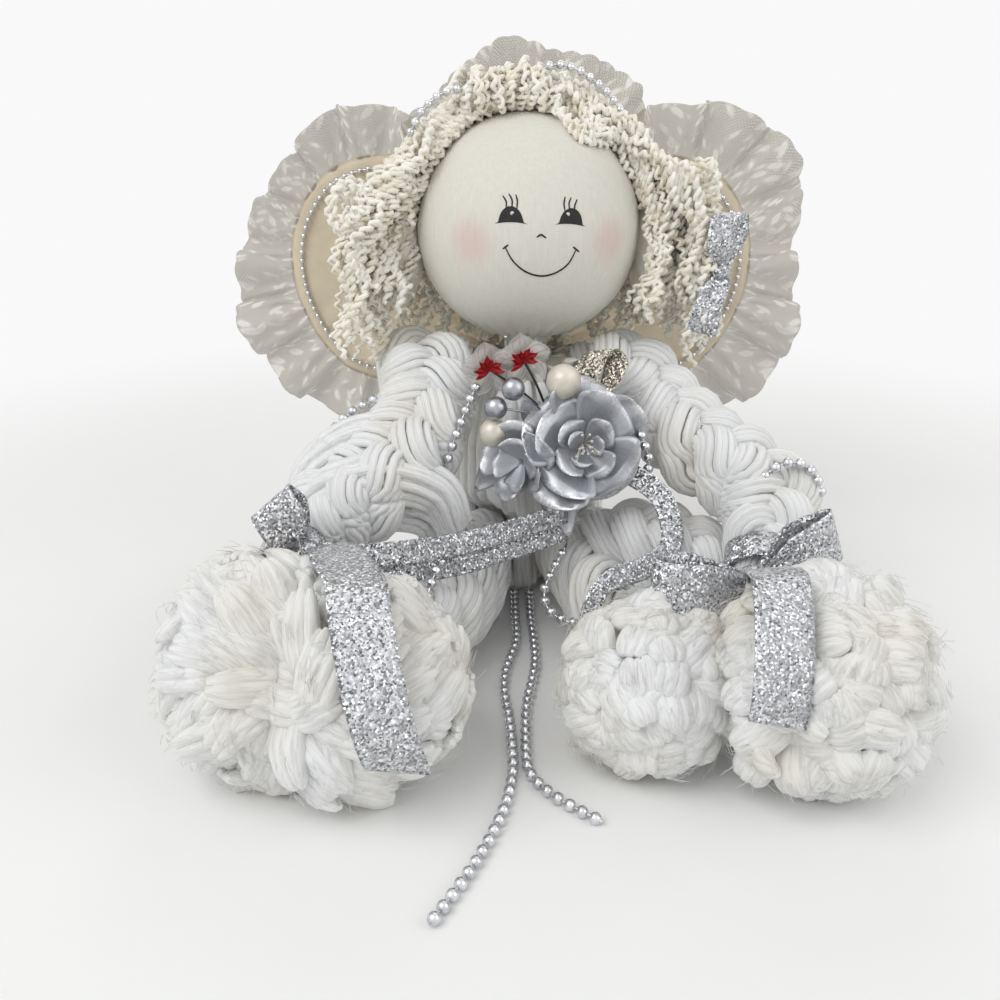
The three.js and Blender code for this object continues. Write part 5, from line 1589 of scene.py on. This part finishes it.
class ANGEL_OT_corsage(bpy.types.Operator):
    """Silver satin flowers, leaves, berries, pearls and small red flowers on the chest"""
    bl_idname = "angel.corsage"
    bl_label = "Corsage"

    def execute(self, context):
        trim = settings("trim")
        satin = satin_material()
        facing = (0.05, -0.94, 0.34)
        rings = {
            "satin_petals_outer": ("flower_outer", ((26, -83, 104), facing, 5, 31, 8, 0.3),
                                   ((26, -86, 104), facing, 4, 25, 13, 0.95, 0.66)),
            "satin_petals_inner": ("flower_inner", ((26, -89, 104), facing, 4, 15, 12, 0.7),
                                   ((26, -90, 104), facing, 3, 9, 11, 0.2)),
            "satin_side_flower": ("flower_side", ((-1, -84, 98), (-0.5, -0.8, 0.1), 5, 19, 10, 0.5),
                                  ((-1, -86, 97), (-0.5, -0.8, 0.1), 4, 12, 13, 0.1)),
        }
        for name, (node, *parts) in rings.items():
            bm = bmesh.new()
            for part in parts:
                flower(bm, *part)
            cloth_piece(name, bm, SATIN_CLOTH, satin, "torso", "silver_satin", node)
        self.leaves(satin)
        self.stamens()
        self.balls(trim)
        self.florets(trim)
        bm = bmesh.new()
        ribbon_strip(bm, [(24, -75, 118, 0.9, -0.3, -0.2), (27, -72, 132, 0.9, -0.3, -0.2),
                          (35, -68, 145, 0.8, -0.5, 0.2), (42, -70, 138, 0.8, -0.5, 0.3),
                          (35, -76, 124, 0.8, -0.5, 0.2)], 13 * MM, (0.6, 0.6))
        gold = glitter_material("pale_gold_glitter", srgb("D8D2C4"), srgb("857F73"))
        cloth_piece("pale_gold_loop", bm, STREAMER_CLOTH, gold, "torso", "glitter_ribbon", "glitter_loop")
        return {"FINISHED"}

    def leaves(self, satin):
        for name, node, points, width, across in (
                ("pointed_leaf_lower", "leaf_lower", [(12, -82, 97), (16, -88, 79), (20, -91, 61)], 19,
                 (1, 0.1, 0.1)),
                ("pointed_leaf_side", "leaf_side", [(4, -76, 103), (-11, -77, 94), (-24, -77, 79)], 16,
                 (0.6, -0.3, -0.7))):
            bm = bmesh.new()
            leaf(bm, points, width, across)
            cloth_piece(name, bm, SATIN_CLOTH, satin, "torso", "silver_satin", node)
        bm = bmesh.new()
        for turn in np.linspace(0, 2 * math.pi, 9)[:-1]:
            out = Vector((math.cos(turn), 0, math.sin(turn)))
            points = [Vector((14, back, 106)) + out * reach
                      for reach, back in ((2, -78), (12, -77), (22, -72))]
            leaf(bm, points, 15, out.cross((0, 1, 0)))
        cloth_piece("corsage_backing", bm, SATIN_CLOTH, satin, "torso", "silver_satin", "corsage_base")

    def stamens(self):
        rng = random.Random(5)
        tips = [(26 + 5 * rng.gauss(0, 0.6), -101 + rng.uniform(-2, 2), 107.5 + 5 * rng.gauss(0, 0.6))
                for _ in range(16)]
        bm = bmesh.new()
        stem_wires(bm, tips, (26, -88, 104.5), 0.28)
        for tip in tips:
            bmesh.ops.create_icosphere(bm, subdivisions=1, radius=0.8 * MM,
                                       matrix=Matrix.Translation(mm(*tip)))
        tipped = pearl_material("stamen_tips", srgb("D9D6CF"), 0.2)
        dress(mesh_piece("stamen_threads", bm), tipped, "torso", "pearl", "flower_stamens")

    def balls(self, trim):
        berry = srgb("B4B6BC")
        for name, node, place, radius, colour, metal in (
                ("silver_berry_upper", "berry_upper", (-6, -84, 131), 5.4, berry, 0.9),
                ("silver_berry_lower", "berry_lower", (-14, -84, 122), 5.4, berry, 0.9),
                ("cream_pearl_left", "pearl_left", (-15, -82, 109.6), 6.6, trim.pearl, 0.1),
                ("cream_pearl_right", "pearl_right", (17, -82, 134), 8, trim.pearl, 0.1)):
            bm = bmesh.new()
            bmesh.ops.create_uvsphere(bm, u_segments=32, v_segments=20, radius=radius * MM,
                                      matrix=Matrix.Translation(mm(*place)))
            stem_wires(bm, [place], (12, -76, 113), 0.6)
            slot = "pearl" if metal < 0.5 else "silver_satin"
            dress(mesh_piece(name, bm), pearl_material(name + "_lacquer", colour, metal), "torso", slot, node)

    def florets(self, trim):
        rng = random.Random(3)
        stems = bmesh.new()
        for side, place in (("left", (-17, -76, 138)), ("right", (-1, -76, 142))):
            hearts, veils = bmesh.new(), bmesh.new()
            for i in range(7):
                turn = 0.1 + 0.58 * i + rng.uniform(-0.15, 0.15)
                out = Vector((math.cos(turn), -0.55, math.sin(turn)))
                reach = rng.uniform(5.5, 8)
                points = [Vector(place) + (out * reach + Vector((0, -1.5, 0))) * share
                          for share in (0, 0.5, 1)]
                leaf(hearts, points, 2.9, out.cross((0, 1, 0)))
            for i in range(5):
                turn = 2 * math.pi * i / 5 + 0.5
                out = Vector((math.cos(turn), -0.25, math.sin(turn)))
                points = [Vector(place) + out * reach + Vector((0, 2, 0)) for reach in (0, 6, 13)]
                leaf(veils, points, 12, out.cross((0, 1, 0)))
            stem_wires(stems, [place], (11, -76, 116), 0.6)
            red = floret_material("red_floret", trim.red)
            cloth_piece(f"floret_heart_{side}", hearts, 0.3 * MM, red, "torso", "red_floret",
                        f"red_flower_{side}")
            veil = floret_material("floret_veil", srgb("EDE9E4"), 0.45)
            cloth_piece(f"floret_veil_{side}", veils, 0.2 * MM, veil, "torso", "red_floret")
        wire = floret_material("green_black_wire", srgb("2A2C28"))
        dress(mesh_piece("floret_stems", stems), wire, "torso", "stem_wire")


# Garland on the limbs

# Percent of a leg's length where the cord ties its ankle
ANKLE = 86
# Each string's name, the node that it stands for, its body and its route
GARLANDS = (
    ("chest_garland", "arm_beads_left", "arm_left",
     [(-22, -75, 132), (-26, -79, 124), (-30, -83, 115), (-34, -86, 105), (-37, -88, 96)]),
    ("elbow_garland", "elbow_beads_right", "arm_right",
     [(100, -120, 70), (97, -115, 82), (101, -110, 93), (110, -107, 101), (120, -105, 103), (129, -105, 97),
      (134, -104, 86)]),
    ("shoulder_garland", "shoulder_beads_right", "arm_right",
     [(78, -72, 113), (84, -76, 111), (90, -79, 108), (97, -80, 104), (104, -79, 97)]),
    ("left_leg_garland", "leg_beads_left", "leg_left",
     [(-37, -122, 64), (-40, -131, 62), (-43, -139, 55), (-45, -145, 46)]),
    ("right_leg_garland", "leg_beads_right", "leg_right",
     [(19, -92, 55), (13, -98, 46), (9, -103, 38), (11, -109, 31), (20, -115, 28), (30, -120, 31)]),
    ("flower_garland", None, "torso", [(52, -86, 112), (55, -88, 105), (57, -89, 98), (56, -91, 92)]),
    ("upper_arm_garland", None, "arm_left", [(-70, -62, 121), (-77, -65, 118), (-84, -71, 115),
                                             (-91, -79, 109)]),
)


class ANGEL_OT_garlands(bpy.types.Operator):
    """Bead garland wound about the limbs, and the cords at the ankles"""
    bl_idname = "angel.garlands"
    bl_label = "Garlands"

    def execute(self, context):
        steel = steel_bead_material()
        for name, node, body, points in GARLANDS:
            beads = bead_string(name, [mm(*p) for p in points], settings("trim").bead, 1.2)
            dress(beads, steel, body, "silver_beads", *([node] if node else []))
        for side in SIDES:
            route = limb_route(f"leg_{side}", 101)
            point, _, across, above = frames_along(route)[ANKLE]
            reach = route[ANKLE][3] + 0.6 * MM
            cord = []
            for ply in (0, math.pi):
                points = []
                for i in range(98):
                    turn, twist = i * 0.13, ply + i * 0.8
                    way = across * math.cos(turn) + above * math.sin(turn)
                    points.append(point + way * (reach + 0.6 * MM * math.cos(twist))
                                  + across.cross(above) * 0.6 * MM * math.sin(twist))
                cord.append((points, CORD_RADIUS))
            tie = yarn_piece(f"ankle_cord_{side}", cord)
            dress(tie, hair_material(), f"leg_{side}", "hair_yarn", f"ankle_tie_{side}")
        return {"FINISHED"}


class ANGEL_PT_pieces(bpy.types.Panel):
    """Lists the angel's pieces"""
    bl_idname = "ANGEL_PT_pieces"
    bl_label = "Plush angel"
    bl_space_type = "VIEW_3D"
    bl_region_type = "UI"
    bl_category = "Angel"

    def draw(self, context):
        for operator in OPERATORS:
            self.layout.operator(operator.bl_idname)
        for group in GROUPS:
            box = self.layout.box()
            for name in GROUPS[group].__annotations__:
                box.prop(settings(group), name)


GROUPS = {"stage": StageSettings, "head": HeadSettings, "roving": RovingSettings, "trim": TrimSettings}
OPERATORS = (ANGEL_OT_stage, ANGEL_OT_trailing_beads, ANGEL_OT_head, ANGEL_OT_hair, ANGEL_OT_body,
             ANGEL_OT_limbs, ANGEL_OT_wings, ANGEL_OT_lace_and_halo, ANGEL_OT_bows, ANGEL_OT_streamers,
             ANGEL_OT_corsage, ANGEL_OT_garlands)


def register():
    for cls in (*GROUPS.values(), *OPERATORS, ANGEL_PT_pieces):
        bpy.utils.register_class(cls)
    for name, group in GROUPS.items():
        setattr(bpy.types.Scene, "angel_" + name, PointerProperty(type=group))


def unregister():
    for name in GROUPS:
        delattr(bpy.types.Scene, "angel_" + name)
    for cls in reversed((*GROUPS.values(), *OPERATORS, ANGEL_PT_pieces)):
        bpy.utils.unregister_class(cls)


def main():
    register()
    for operator in OPERATORS:
        group, name = operator.bl_idname.split(".")
        getattr(getattr(bpy.ops, group), name)()


if __name__ == "__main__":
    main()
